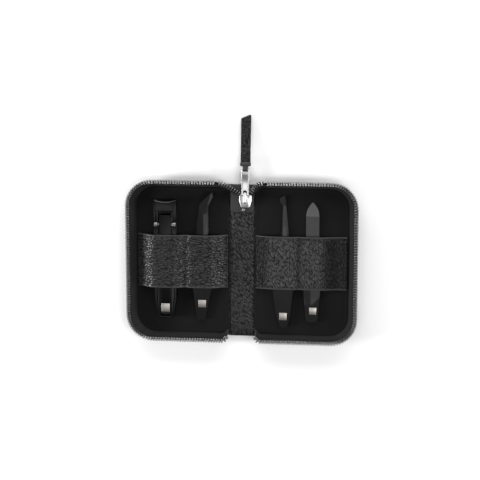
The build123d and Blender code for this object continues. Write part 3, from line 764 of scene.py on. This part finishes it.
def makePanels():
    out = panelSet["coverOut"]
    cover = halfPanel("right_outer_leather", 0.0, panelSet["coverThick"], out)
    start = panelSet["start"]
    pickEdges(cover, lambda a, b: max(a.z, b.z) < 0.01 and max(a.x, b.x) > start + 0.01)
    bpy.ops.mesh.bevel(offset=panelSet["coverRound"] * mm, segments=3)
    leaveEdit()
    smoothOver(cover, 40)
    lining = halfPanel("right_suede_lining", panelSet["liningLow"], panelSet["liningTop"], -panelSet["liningIn"])
    # the sewn line runs round inside the edge, and the field inside it is a little lower
    pickFaces(lining, lambda at, normal: normal.z > 0.9)
    bpy.ops.mesh.inset(thickness=panelSet["seamIn"] * mm, depth=0)
    for rise in (-1, panelSet["seamRise"]):
        bpy.ops.mesh.inset(thickness=panelSet["seamWide"] / 2 * mm, depth=panelSet["seamDeep"] * rise * mm)
    leaveEdit()
    roundEdges(lining, panelSet["liningRound"], 2, 30, 60)
    bothHalves(cover, "coverLeather", "cover")
    bothHalves(lining, "suede", "lining")


makePanels()

for boardNode in ("left_board", "right_board", "spine_board"):
    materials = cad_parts[boardNode].data.materials
    materials.clear()
    materials.append(finishes["board"])

spineSet = {
    "half": 8.55,
    "end": 54.6,
    "coverThick": 1.2,
    "leatherLow": 2.2,
    "leatherTop": 3.0,
    "turn": 0.35,
    "coverRound": 0.5,
    "hingeSteps": 8,
    "hingeRows": 24,
    "hingeOver": 0.02,  # how far a hinge strip reaches under its neighbours
    "hingeShort": 0.05,  # how much shorter it is at each end
    "outerHinge": ((0.0, 0.0), (1.2, 1.2)),  # low and high, at the spine and at the half
    "innerHinge": ((2.5, 2.8), (3.0, 3.5)),
    "grooveDeep": 0.45,
}


def makeSpine():
    half, end = spineSet["half"], spineSet["end"]
    outside = addBlock("spine_outer_leather", (-half, -end, 0), (half, end, spineSet["coverThick"]))
    pickEdges(outside, lambda a, b: abs(a.y - b.y) < 0.01 and max(a.z, b.z) < 0.01)
    bpy.ops.mesh.bevel(offset=spineSet["coverRound"] * mm, segments=3)
    leaveEdit()
    smoothOver(outside)
    putOn(outside, "coverLeather", "root", ["spine_cover"])
    low, high = spineSet["leatherLow"], spineSet["leatherTop"]
    inside = addBlock("spine_inner_leather", (-half, -end, low), (half, end, high))
    roundEdges(inside, spineSet["turn"], 3, 40, 60)
    putOn(inside, "spineLeather", "root", ["spine_lining"])


def hingeStrip(name, side, low, high, groove):
    # the leather over a fold line, as narrow strips side by side
    half, start, end = spineSet["half"], panelSet["start"], spineSet["end"]
    over, short = spineSet["hingeOver"], spineSet["hingeShort"]
    middle = (half + start) / 2
    level = (low[0] + high[0]) / 2
    strip = addBlock(name, (half - over, -end + short, low[0]), (start + over, end - short, high[0]))
    for vertex in strip.data.vertices:
        if vertex.co.x / mm > middle:
            vertex.co.z = (low[1] if vertex.co.z / mm < level else high[1]) * mm
    for number in range(1, spineSet["hingeSteps"]):
        cutAcross(strip, (half + (start - half) * number / spineSet["hingeSteps"], 0, 0), (1, 0, 0))
    for number in range(1, spineSet["hingeRows"]):
        cutAcross(strip, (0, -end + 2 * end * number / spineSet["hingeRows"], 0), (0, 1, 0))
    if groove:
        for vertex in strip.data.vertices:
            share = 1 - min(abs(vertex.co.x / mm - middle) / ((start - half) / 2), 1)
            if vertex.co.z / mm > level:
                vertex.co.z -= groove * share * mm
    if side == "left":
        strip = leftOnly(strip)
    smoothOver(strip, 60)
    return strip


def makeHinges():
    for side, sign in (("left", -1), ("right", 1)):
        outer = hingeStrip(f"{side}_outer_hinge", side, *spineSet["outerHinge"], 0)
        putOn(outer, "coverLeather", None, ())
        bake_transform(outer)
        inner = hingeStrip(f"{side}_inner_hinge", side, *spineSet["innerHinge"], spineSet["grooveDeep"])
        putOn(inner, "spineLeather", None, ())
        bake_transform(inner)


makeSpine()
makeHinges()
print("covers, linings and spine made")


# the rounded route along which the teeth are set


def roundedRoute(corners, radii):
    # straight runs and arcs through the corners, each as (length, start, direction, radius, turn)
    parts = []
    here = Vector(corners[0])
    for number, corner in enumerate(corners[1:-1], start=1):
        corner = Vector(corner)
        into = (corner - Vector(corners[number - 1])).normalized()
        out = (Vector(corners[number + 1]) - corner).normalized()
        radius = radii[number - 1]
        turn = into.angle_signed(out)
        reach = radius * math.tan(abs(turn) / 2)
        tangent = corner - into * reach
        parts.append(((tangent - here).length, here, into, 0.0, 0.0))
        parts.append((radius * abs(turn), tangent, into, radius, turn))
        here = corner + out * reach
    last = Vector(corners[-1])
    parts.append(((last - here).length, here, (last - here).normalized(), 0.0, 0.0))
    return parts


def onRoute(parts, distance):
    # place and heading at a distance along the route
    for length, start, into, radius, turn in parts:
        if distance <= length or (length, start) == parts[-1][:2]:
            if radius == 0:
                return start + into * distance, into
            way = 1 if turn > 0 else -1  # mathutils counts a signed angle clockwise
            swing = Matrix.Rotation(-distance / radius * way, 2)
            heading = into.copy()
            heading.rotate(swing)
            centre = start + Vector((into.y, -into.x)) * way * radius
            arm = start - centre
            arm.rotate(swing)
            return centre + arm, heading
        distance -= length
    return parts[-1][1], parts[-1][2]


# zip teeth: one tooth is modelled and copied along the rim

toothSet = {
    "pitch": 1.9,
    "long": 1.0,
    "wide": 2.9,
    "high": 1.9,
    "slot": 0.74,
    "slotDeep": 0.85,
    "round": 0.26,
    "scoop": (0.12, 0.16),  # the hollow in a tooth's head: its margin and its depth
    "first": 2.2,  # room for the end stop on the row
    "count": 122,
    "stopLong": 1.6,
    "corners": [(10.5, -53.4), (10.5, -56.8), (81.2, -56.8), (81.2, 56.8), (16.9, 56.8)],
    "radii": [3.3, 17.8, 17.8],
}
rimRoute = roundedRoute(toothSet["corners"], toothSet["radii"])


def makeTooth(name, long):
    # a clamp that straddles the tape, with rounded shoulders and a scoop in its head
    wide, high = toothSet["wide"], toothSet["high"]
    tooth = addBlock(name, (-long / 2, -wide / 2, 0), (long / 2, wide / 2, high))
    pickEdges(tooth, lambda a, b: min(a.z, b.z) > high - 0.01)
    bpy.ops.mesh.bevel(offset=toothSet["round"] * mm, segments=2)
    leaveEdit()
    slot = toothSet["slot"] / 2
    for at in (-slot, slot):
        cutAcross(tooth, (0, at, 0), (0, 1, 0))
    pickFaces(tooth, lambda at, normal: normal.z < -0.9 and abs(at.y) < slot)
    bpy.ops.mesh.extrude_region_move(TRANSFORM_OT_translate={"value": (0, 0, toothSet["slotDeep"] * mm)})
    leaveEdit()
    pickFaces(tooth, lambda at, normal: normal.z > 0.95 and abs(at.y) < slot)
    margin, deep = toothSet["scoop"]
    bpy.ops.mesh.inset(thickness=margin * mm, depth=-deep * mm)
    leaveEdit()
    recalcNormals(tooth)
    smoothOver(tooth, 35)
    return tooth


def seat(at, heading, z):
    # a place on a route, with X along it and Z up
    angle = math.atan2(heading.y, heading.x)
    return Matrix.Translation((at.x * mm, at.y * mm, z * mm)) @ Matrix.Rotation(angle, 4, "Z")


def makeTeeth(tooth):
    rim = wallSet["tapeTop"]
    places = []
    for number in range(toothSet["count"]):
        at, heading = onRoute(rimRoute, toothSet["first"] + (number + 0.5) * toothSet["pitch"])
        places.append(seat(at, heading, rim))
    bothHalves(copiesAt(tooth, places, "right_teeth"), "zipMetal", "zip_teeth")
    clamp = makeTooth("clamp", toothSet["stopLong"])
    at, heading = onRoute(rimRoute, toothSet["first"] / 2)
    bothHalves(copiesAt(clamp, [seat(at, heading, rim)], "right_row_stop"), "zipMetal", "end_stop")
    bpy.data.objects.remove(clamp)


toothModel = makeTooth("toothModel", toothSet["long"])
makeTeeth(toothModel)
print("teeth set along the rim")


# holding bands

bandSet = {
    "thick": 1.2,
    "y": (-19.35, 18.95),
    "columns": 130,
    "rows": 96,
    "soften": 1.8,  # how far the line's corners are rounded off
    # each band's top line from the spine outwards: distance from the middle and height
    "left": [(10.0, 3.5), (13.0, 3.5), (21.35, 8.72), (35.25, 8.72), (40.75, 6.5), (45.75, 10.0), (63.0, 10.0),
             (73.0, 3.5), (74.7, 3.5)],
    "right": [(10.0, 3.5), (10.8, 3.5), (22.05, 6.75), (36.95, 6.75), (40.3, 5.1), (43.65, 6.35), (56.45, 6.35),
              (66.0, 3.5), (74.7, 3.5)],
    "edgeRound": 0.4,
    "sewnEnds": 4.0,  # how far from its ends the leather is held down
    "lift": (0.22, 1.8),  # how high a free edge lifts, and how far in that reaches
    "ripple": (0.10, 7.0),  # the same for its ripple
    "wave": (0.55, 0.21, 1.3),  # the ripple's turns along X and Y, and how far the second bends the first
    "seamIn": 1.7,
    "seamDip": 0.18,
    "seamWide": 0.45,
    "turned": 1.05,  # the smooth turned edge outside the sewn line
    "endSeam": 1.5,
}


def lineHeight(line, x):
    if x <= line[0][0]:
        return line[0][1]
    for (xa, za), (xb, zb) in zip(line, line[1:]):
        if x <= xb:
            return za + (zb - za) * (x - xa) / (xb - xa)
    return line[-1][1]


def softHeight(line, x, reach):
    # the line's mean height round x
    return sum(lineHeight(line, x + reach * (n - 4) / 4) for n in range(9)) / 9


def makeBand(side):
    line = bandSet[side]
    low, high = line[0][0], line[-1][0]
    yLow, yHigh = bandSet["y"]
    clearSelection()
    bpy.ops.mesh.primitive_grid_add(x_subdivisions=bandSet["columns"], y_subdivisions=bandSet["rows"], size=1,
                                    location=((low + high) / 2 * mm, (yLow + yHigh) / 2 * mm, 0))
    band = sizeTo(f"{side}_band_leather", ((high - low) * mm, (yHigh - yLow) * mm, 1))
    # the leather lies over its tools, and its free edges lift and ripple a little
    lift, liftReach = bandSet["lift"]
    ripple, rippleReach = bandSet["ripple"]
    alongX, alongY, bend = bandSet["wave"]
    for vertex in band.data.vertices:
        x, y = vertex.co.x / mm, vertex.co.y / mm
        edge = min(y - yLow, yHigh - y)
        seam = math.exp(-((edge - bandSet["seamIn"]) / bandSet["seamWide"]) ** 2)
        height = softHeight(line, x, bandSet["soften"]) - seam * bandSet["seamDip"]
        if min(x - low, high - x) > bandSet["sewnEnds"]:
            rise = ripple * math.sin(x * alongX + math.sin(y * alongY) * bend) * math.exp(-edge / rippleReach)
            height += lift * math.exp(-edge / liftReach) + max(rise, 0)
        vertex.co.z = height * mm
    finishWith(band, "SOLIDIFY", thickness=bandSet["thick"] * mm, offset=1.0)
    roundEdges(band, bandSet["edgeRound"], 3, 60, 60)
    if side == "left":
        band = leftOnly(band)
    putOn(band, f"{side}BandLeather", bodyOfHalf[side], [f"{side}_band"])
    inside = (yHigh - yLow) / 2 - bandSet["turned"]
    secondFinish(band, "smoothLeather", lambda at, normal: abs(at.y - (yLow + yHigh) / 2) > inside)
    return band


stitchSet = {
    "thick": 0.4,
    "long": 1.15,
    "bandPitch": 1.8,
    "bandFirst": 2.4,  # from the band's end to its first stitch
    "bandClear": 4.0,  # how much of the line's length has no stitches
    "endPitch": 2.4,
    "endFirst": 3.6,
    "endClear": 5.0,
    "spinePitch": 2.4,
    "spineFirst": 1.6,
    "spineClear": 1.0,  # the same at each end
}


def makeStitch():
    # one stitch: a thread that dips into its two holes
    long, thick = stitchSet["long"], stitchSet["thick"]
    clearSelection()
    bpy.ops.mesh.primitive_cylinder_add(vertices=8, radius=thick / 2 * mm, depth=long * mm,
                                        rotation=(0, math.pi / 2, 0))
    stitch = sizeTo("stitch", (1, 1, 1))
    for share in (-0.3, 0.3):
        cutAcross(stitch, (share * long, 0, 0), (1, 0, 0))
    pickVertices(stitch, lambda at: abs(at.x) > long * 0.45)
    bpy.ops.transform.translate(value=(0, 0, -thick * 0.6 * mm))
    leaveEdit()
    smoothOver(stitch, 60)
    return stitch


def sewOn(surface, name, places, body):
    # lays a stitch on the surface at each place: x, y and the direction it runs in
    model = makeStitch()
    bpy.context.view_layer.update()
    seats = []
    for x, y, heading in places:
        hit, at, normal, _ = surface.ray_cast(Vector((x, y, 60)) * mm, Vector((0, 0, -1)))
        if hit:
            across = normal.cross(Vector(heading)).normalized()
            turn = Matrix((across.cross(normal), across, normal)).transposed().to_4x4()
            seats.append(Matrix.Translation(at) @ turn)
    row = copiesAt(model, seats, name)
    bpy.data.objects.remove(model)
    return putOn(row, "thread", body, ())


def sewBand(side, band):
    sign = -1 if side == "left" else 1
    low, high = bandSet[side][0][0], bandSet[side][-1][0]
    yLow, yHigh = bandSet["y"]
    places = []
    pitch = stitchSet["bandPitch"]
    for number in range(int((high - low - stitchSet["bandClear"]) / pitch)):
        for y in (yLow + bandSet["seamIn"], yHigh - bandSet["seamIn"]):
            places.append((sign * (low + stitchSet["bandFirst"] + pitch * number), y, (1, 0, 0)))
    pitch = stitchSet["endPitch"]
    for number in range(int((yHigh - yLow - stitchSet["endClear"]) / pitch)):
        for x in (low + bandSet["endSeam"], high - bandSet["endSeam"]):
            places.append((sign * x, yLow + stitchSet["endFirst"] + pitch * number, (0, 1, 0)))
    sewOn(band, f"{side}_band_stitches", places, bodyOfHalf[side])


for side in ("left", "right"):
    sewBand(side, makeBand(side))
print("bands laid over the tools and sewn")


# zip tails and end tape

tailSet = {
    "rim": {
        "left": [(-17.3, 57.0), (-11.6, 55.5), (-5.6, 51.5), (-0.55, 48.4)],
        "right": [(17.3, 57.0), (11.8, 56.4), (8.4, 52.6), (5.95, 48.4)],
    },
    "foot": {
        "left": [(-17.3, 53.35), (-12.0, 52.6), (-7.0, 48.8), (-1.3, 46.2)],
        "right": [(17.3, 53.35), (12.8, 53.0), (9.6, 49.4), (6.7, 46.2)],
    },
    "footHeight": 3.55,
    "sliderHeight": 4.8,  # the rim comes down to this at the slider
    "thick": 0.5,
    "tucked": 0.5,  # the tail's end lies inside the wall's tape
    "edge": 0.35,  # the beaded edge inside the teeth
    "firstTooth": 0.7,  # in pitches from the tail's end
    "slopeOver": 0.5,  # the run over which a tooth's slope is taken
}


def tailLine(side, line):
    # a smooth route through the given points, flat on the lining
    data = bpy.data.curves.new(f"{side}{line}", "CURVE")
    data.dimensions = "3D"
    data.resolution_u = 14
    spline = data.splines.new("NURBS")
    route = tailSet[line][side]
    spline.points.add(len(route) - 1)
    for point, (x, y) in zip(spline.points, route):
        point.co = (x * mm, y * mm, tailSet["footHeight"] * mm, 1)
    spline.order_u = 3
    spline.use_endpoint_u = True
    curve = addObject(f"{side}{line}", data)
    mesh = bpy.data.meshes.new_from_object(curve)
    bpy.data.objects.remove(curve)
    return mesh


def tailHeight(side, x):
    # the height of a tail's upper edge, from the rim down to the slider
    route = tailSet["rim"][side]
    share = (abs(x) - abs(route[-1][0])) / (abs(route[0][0]) - abs(route[-1][0]))
    share = max(min(share, 1), 0)
    return tailSet["sliderHeight"] + (wallSet["tapeTop"] - tailSet["sliderHeight"]) * share


def makeTail(side, tooth):
    edges = []
    for line in ("rim", "foot"):
        edge = addObject(f"{side}_tail_cloth", tailLine(side, line))
        if line == "rim":
            route = [vertex.co.copy() / mm for vertex in edge.data.vertices]
            for vertex in edge.data.vertices:
                vertex.co.z = (tailHeight(side, vertex.co.x / mm) + tailSet["edge"]) * mm
        edges.append(edge)
    tape = joinPieces(edges, f"{side}_tail_cloth")
    pickEdges(tape, lambda a, b: True)
    bpy.ops.mesh.bridge_edge_loops(number_cuts=4, interpolation="LINEAR")
    leaveEdit()
    finishWith(tape, "SOLIDIFY", thickness=tailSet["thick"] * mm, offset=0.0)
    recalcNormals(tape)
    smoothOver(tape, 50)
    putOn(tape, "tape", None, [f"{side}_tail_tape"])
    teeth = []
    travelled = 0.0
    wanted = toothSet["pitch"] * tailSet["firstTooth"] + tailSet["tucked"]
    over = tailSet["slopeOver"]
    for a, b in zip(route, route[1:]):
        step = (b - a).length
        while travelled + step >= wanted:
            at = a + (b - a) * ((wanted - travelled) / step)
            ahead = (b - a).normalized()
            rise = (tailHeight(side, at.x + ahead.x * over) - tailHeight(side, at.x)) / over
            direction = Vector((ahead.x, ahead.y, rise)).normalized()
            across = Vector((0, 0, 1)).cross(direction).normalized()
            turn = Matrix((direction, across, direction.cross(across))).transposed().to_4x4()
            teeth.append(Matrix.Translation(Vector((at.x, at.y, tailHeight(side, at.x))) * mm) @ turn)
            wanted += toothSet["pitch"]
        travelled += step
    row = copiesAt(tooth, teeth[:-1], f"{side}_tail_row")
    putOn(row, "zipMetal", None, [f"{side}_tail_teeth"])
    for piece in (tape, row):
        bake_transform(piece)


for side in ("left", "right"):
    makeTail(side, toothModel)
bpy.data.objects.remove(toothModel)

endTapeSet = {"half": 8.2, "low": 3.0, "high": 3.35, "y": (35.3, 54.3), "round": 0.15, "stitchY": 36.4}


def makeEndTape():
    half = endTapeSet["half"]
    yLow, yHigh = endTapeSet["y"]
    tape = addBlock("spine_end_tape", (-half, yLow, endTapeSet["low"]), (half, yHigh, endTapeSet["high"]))
    roundEdges(tape, endTapeSet["round"], 2, 40, 60)
    putOn(tape, "smoothLeather", "root", ["zip_end_tape"])


def sewSpine():
    half, pitch = endTapeSet["half"], stitchSet["spinePitch"]
    count = int(2 * (half - stitchSet["spineClear"]) / pitch) + 1
    first = stitchSet["spineFirst"] - half
    places = [(first + pitch * n, endTapeSet["stitchY"], (1, 0, 0)) for n in range(count)]
    sewOn(bpy.data.objects["spine_end_tape"], "spine_stitches", places, "root")


makeEndTape()
sewSpine()
print("zip tails made")


# metal parts and strap: the solids' shape, with the facets and crowns of the real tools and rounded edges

facetSet = {
    "legRidge": (-27.1, 34.0),  # where the ridge of the tweezers turns towards their tip
    "legTip": (-21.0, 49.3),
    "legRight": 0.27,
    "legLeft": 0.14,
    "legFrom": (10.0, 18.0),  # the facets come up under the band
    "legLeast": 5.9,  # only what lies above this height is lowered
    "neckRidge": 29.2,
    "neckRight": 0.27,
    "neckLeft": 0.2,
    "neckFrom": (12.0, 18.0),
    "neckTo": (40.5, 43.0),  # flat again at the spade
    "neckLeast": 4.5,
    "gripRidge": 49.2,
    "gripRight": 0.20,
    "gripLeft": 0.10,
    "gripFrom": (-30.0, -25.0),
    "gripLeast": 5.9,
    "tipShoulder": 33.3,
    "tipDrop": 0.08,
    "tipLeast": 5.0,
    "jawEdge": 41.0,  # the clipper's cutting edge lies beyond this
}
crownSet = {  # the middle, how round, half the width, and the height above which it is lowered
    "lever": (-54.4, 0.016, 6.0, 8.9),
    "slider": (2.7, 0.035, 4.2, 7.0),
}
wrapSet = {"split": (68.0, 69.5), "clear": 0.75, "longer": 1.3}


def lowerTop(piece, cuts, drop, least):
    # cuts the piece along lines and lowers its upper side, above the height least, by drop(x, y)
    for place, normal in cuts:
        cutAcross(piece, (*place, 0), (*normal, 0))
    top = {number for face in piece.data.polygons if face.normal.z > 0.9 for number in face.vertices}
    for number in top:
        at = piece.data.vertices[number].co
        if at.z / mm > least:
            at.z -= drop(at.x / mm, at.y / mm) * mm


def rising(y, span):
    # 0 before the span, 1 after it
    return max(min((y - span[0]) / (span[1] - span[0]), 1), 0)


def sharpRidges(piece, least=2.5):
    # keeps the ridges between facets sharp, from least degrees up
    mesh = bmesh.new()
    mesh.from_mesh(piece.data)
    for edge in mesh.edges:
        if len(edge.link_faces) == 2 and min(f.normal.z for f in edge.link_faces) > 0.85:
            if edge.calc_face_angle() > math.radians(least):
                edge.smooth = False
    mesh.to_mesh(piece.data)
    mesh.free()


def facetLeg(piece):
    # the tweezers' ridge, which turns towards their slanted tip
    ridgeX, turnY = facetSet["legRidge"]
    tipX, tipY = facetSet["legTip"]
    run = Vector((tipX - ridgeX, tipY - turnY)).normalized()

    def drop(x, y):
        aside = x - ridgeX if y < turnY else (x - ridgeX) * run.y - (y - turnY) * run.x
        slope = facetSet["legRight"] if aside > 0 else -facetSet["legLeft"]
        return rising(y, facetSet["legFrom"]) * (aside * slope)

    cuts = [((0, y), (0, 1)) for y in (*facetSet["legFrom"], turnY)]
    cuts += [((ridgeX, 0), (1, 0)), ((ridgeX, turnY), (run.y, -run.x))]
    lowerTop(piece, cuts, drop, facetSet["legLeast"])


def ridged(part, flat=(900.0, 901.0)):
    # a straight ridge along Y, with a slope on each side of it, that comes up over its span and fades over flat
    ridge, right, left, span, least = [facetSet[part + key] for key in ("Ridge", "Right", "Left", "From", "Least")]

    def shape(piece):
        def drop(x, y):
            share = rising(y, span) * (1 - rising(y, flat))
            return share * ((x - ridge) * right if x > ridge else (ridge - x) * left)

        cuts = [((0, y), (0, 1)) for y in (*span, *flat)] + [((ridge, 0), (1, 0))]
        lowerTop(piece, cuts, drop, least)
    return shape


def crowned(middle, crown, half, least, strips=8):
    # a rounded back across X
    def shape(piece):
        cuts = [((middle + half * (2 * n / strips - 1), 0), (1, 0)) for n in range(1, strips)]
        lowerTop(piece, cuts, lambda x, y: crown * (x - middle) ** 2, least)
    return shape


def closedWrap(piece):
    # the outside of the wrap, closed over the fold inside it, clear of the puller and a little longer
    openWhole(piece)
    bpy.ops.mesh.convex_hull()
    leaveEdit()
    low, high = wrapSet["split"]
    for limit, shift in ((lambda at: at.y < low, wrapSet["clear"]), (lambda at: at.y > high, wrapSet["longer"])):
        pickVertices(piece, limit)
        bpy.ops.transform.translate(value=(0, shift * mm, 0))
        leaveEdit()


def slantTip(piece):
    # the file's tip, which falls away beyond its shoulder
    shoulder = facetSet["tipShoulder"]
    lowerTop(piece, [((0, shoulder), (0, 1))], lambda x, y: max(y - shoulder, 0) * facetSet["tipDrop"],
             facetSet["tipLeast"])


def roundedNode(nodeName, name, width, finish, body, slot, steps=2, clamp=True, shape=None, ridges=False):
    # a copy of a solid with its shape worked on and its edges rounded by width
    piece = nodeCopy(nodeName, name)
    if shape:
        shape(piece)
    wholeFaces(piece)
    roundEdges(piece, width, steps, clamp=clamp)
    if ridges:
        sharpRidges(piece)
    return putOn(piece, finish, body, [nodeName])


crowns = {part: crowned(*values) for part, values in crownSet.items()}
neck, grip = ridged("neck", facetSet["neckTo"]), ridged("grip")
thin = {"clamp": False}  # no limit where edges lie close together
fine = {"clamp": False, "steps": 3}
roundSet = {  # node: the piece's name, how far its edges are rounded, its finish, body, slot and how it is worked
    "zip_bottom_stop": ("bottom_stop_clamp", 0.3, "zipMetal", "root", "zip_metal", fine),
    "slider_body": ("slider_shell", 0.16, "chrome", "root", "chrome", {"shape": crowns["slider"]}),
    "slider_bridge": ("slider_arch", 0.2, "chrome", "root", "chrome", fine),
    "puller": ("puller_plate", 0.12, "chrome", "zip_puller", "chrome", {}),
    "strap_loop": ("strap_fold", 0.25, "smoothLeather", "strap", "leather", fine),
    "strap_knot": ("strap_wrap", 1.25, "smoothLeather", "strap", "leather", {"steps": 5, "shape": closedWrap}),
    "pull_strap": ("strap_tongue", 0.4, "strapLeather", "strap", "leather", fine),
    "clipper_body": ("clipper_base", 0.35, "blackSteel", "clipper", "black_steel", {}),
    "clipper_rivet": ("clipper_stud", 0.1, "blackSteel", "clipper", "black_steel", thin),
    "clipper_upper_jaw": ("clipper_head", 0.18, "blackSteel", "clipper_jaw", "black_steel", thin),
    "clipper_axle": ("clipper_pin", 0.2, "pinSteel", "clipper_jaw", "bare_steel", thin),
    "clipper_lever": ("clipper_press_plate", 0.25, "blackSteel", "clipper_press", "black_steel",
                      {"shape": crowns["lever"]}),
    "clipper_inlay": ("clipper_square", 0.12, "inlaySteel", "clipper_press", "inlay_steel", thin),
    "tweezers_lower_leg": ("tweezers_back_leg", 0.2, "blackSteel", "tweezers", "black_steel", thin),
    "tweezers_upper_leg": ("tweezers_front_leg", 0.22, "blackSteel", "tweezers_leg", "black_steel",
                           {"shape": facetLeg, "ridges": True}),
    "tweezers_inlay": ("tweezers_square", 0.12, "inlaySteel", "tweezers_leg", "inlay_steel", thin),
    "cuticle_pusher": ("pusher_bar", 0.35, "blackSteel", "pusher", "black_steel", {"shape": neck, "ridges": True}),
    "pusher_inlay": ("pusher_square", 0.12, "inlaySteel", "pusher", "inlay_steel", thin),
    "file_handle": ("file_grip", 0.35, "blackSteel", "nail_file", "black_steel", {"shape": grip, "ridges": True}),
    "file_blade": ("file_leaf", 0.15, "grit", "nail_file", "file_surface",
                   {"shape": slantTip, "ridges": True, "clamp": False}),
    "file_inlay": ("file_square", 0.12, "inlaySteel", "nail_file", "inlay_steel", thin),
}
for nodeName, (*values, work) in roundSet.items():
    piece = roundedNode(nodeName, *values, **work)
    if nodeName == "clipper_upper_jaw":
        secondFinish(piece, "pinSteel", lambda at, normal: at.y > facetSet["jawEdge"] and normal.y > 0.3)
    if nodeName == "file_blade":
        secondFinish(piece, "fineGrit", lambda at, normal: at.y > facetSet["tipShoulder"])
print("metal parts and strap made")
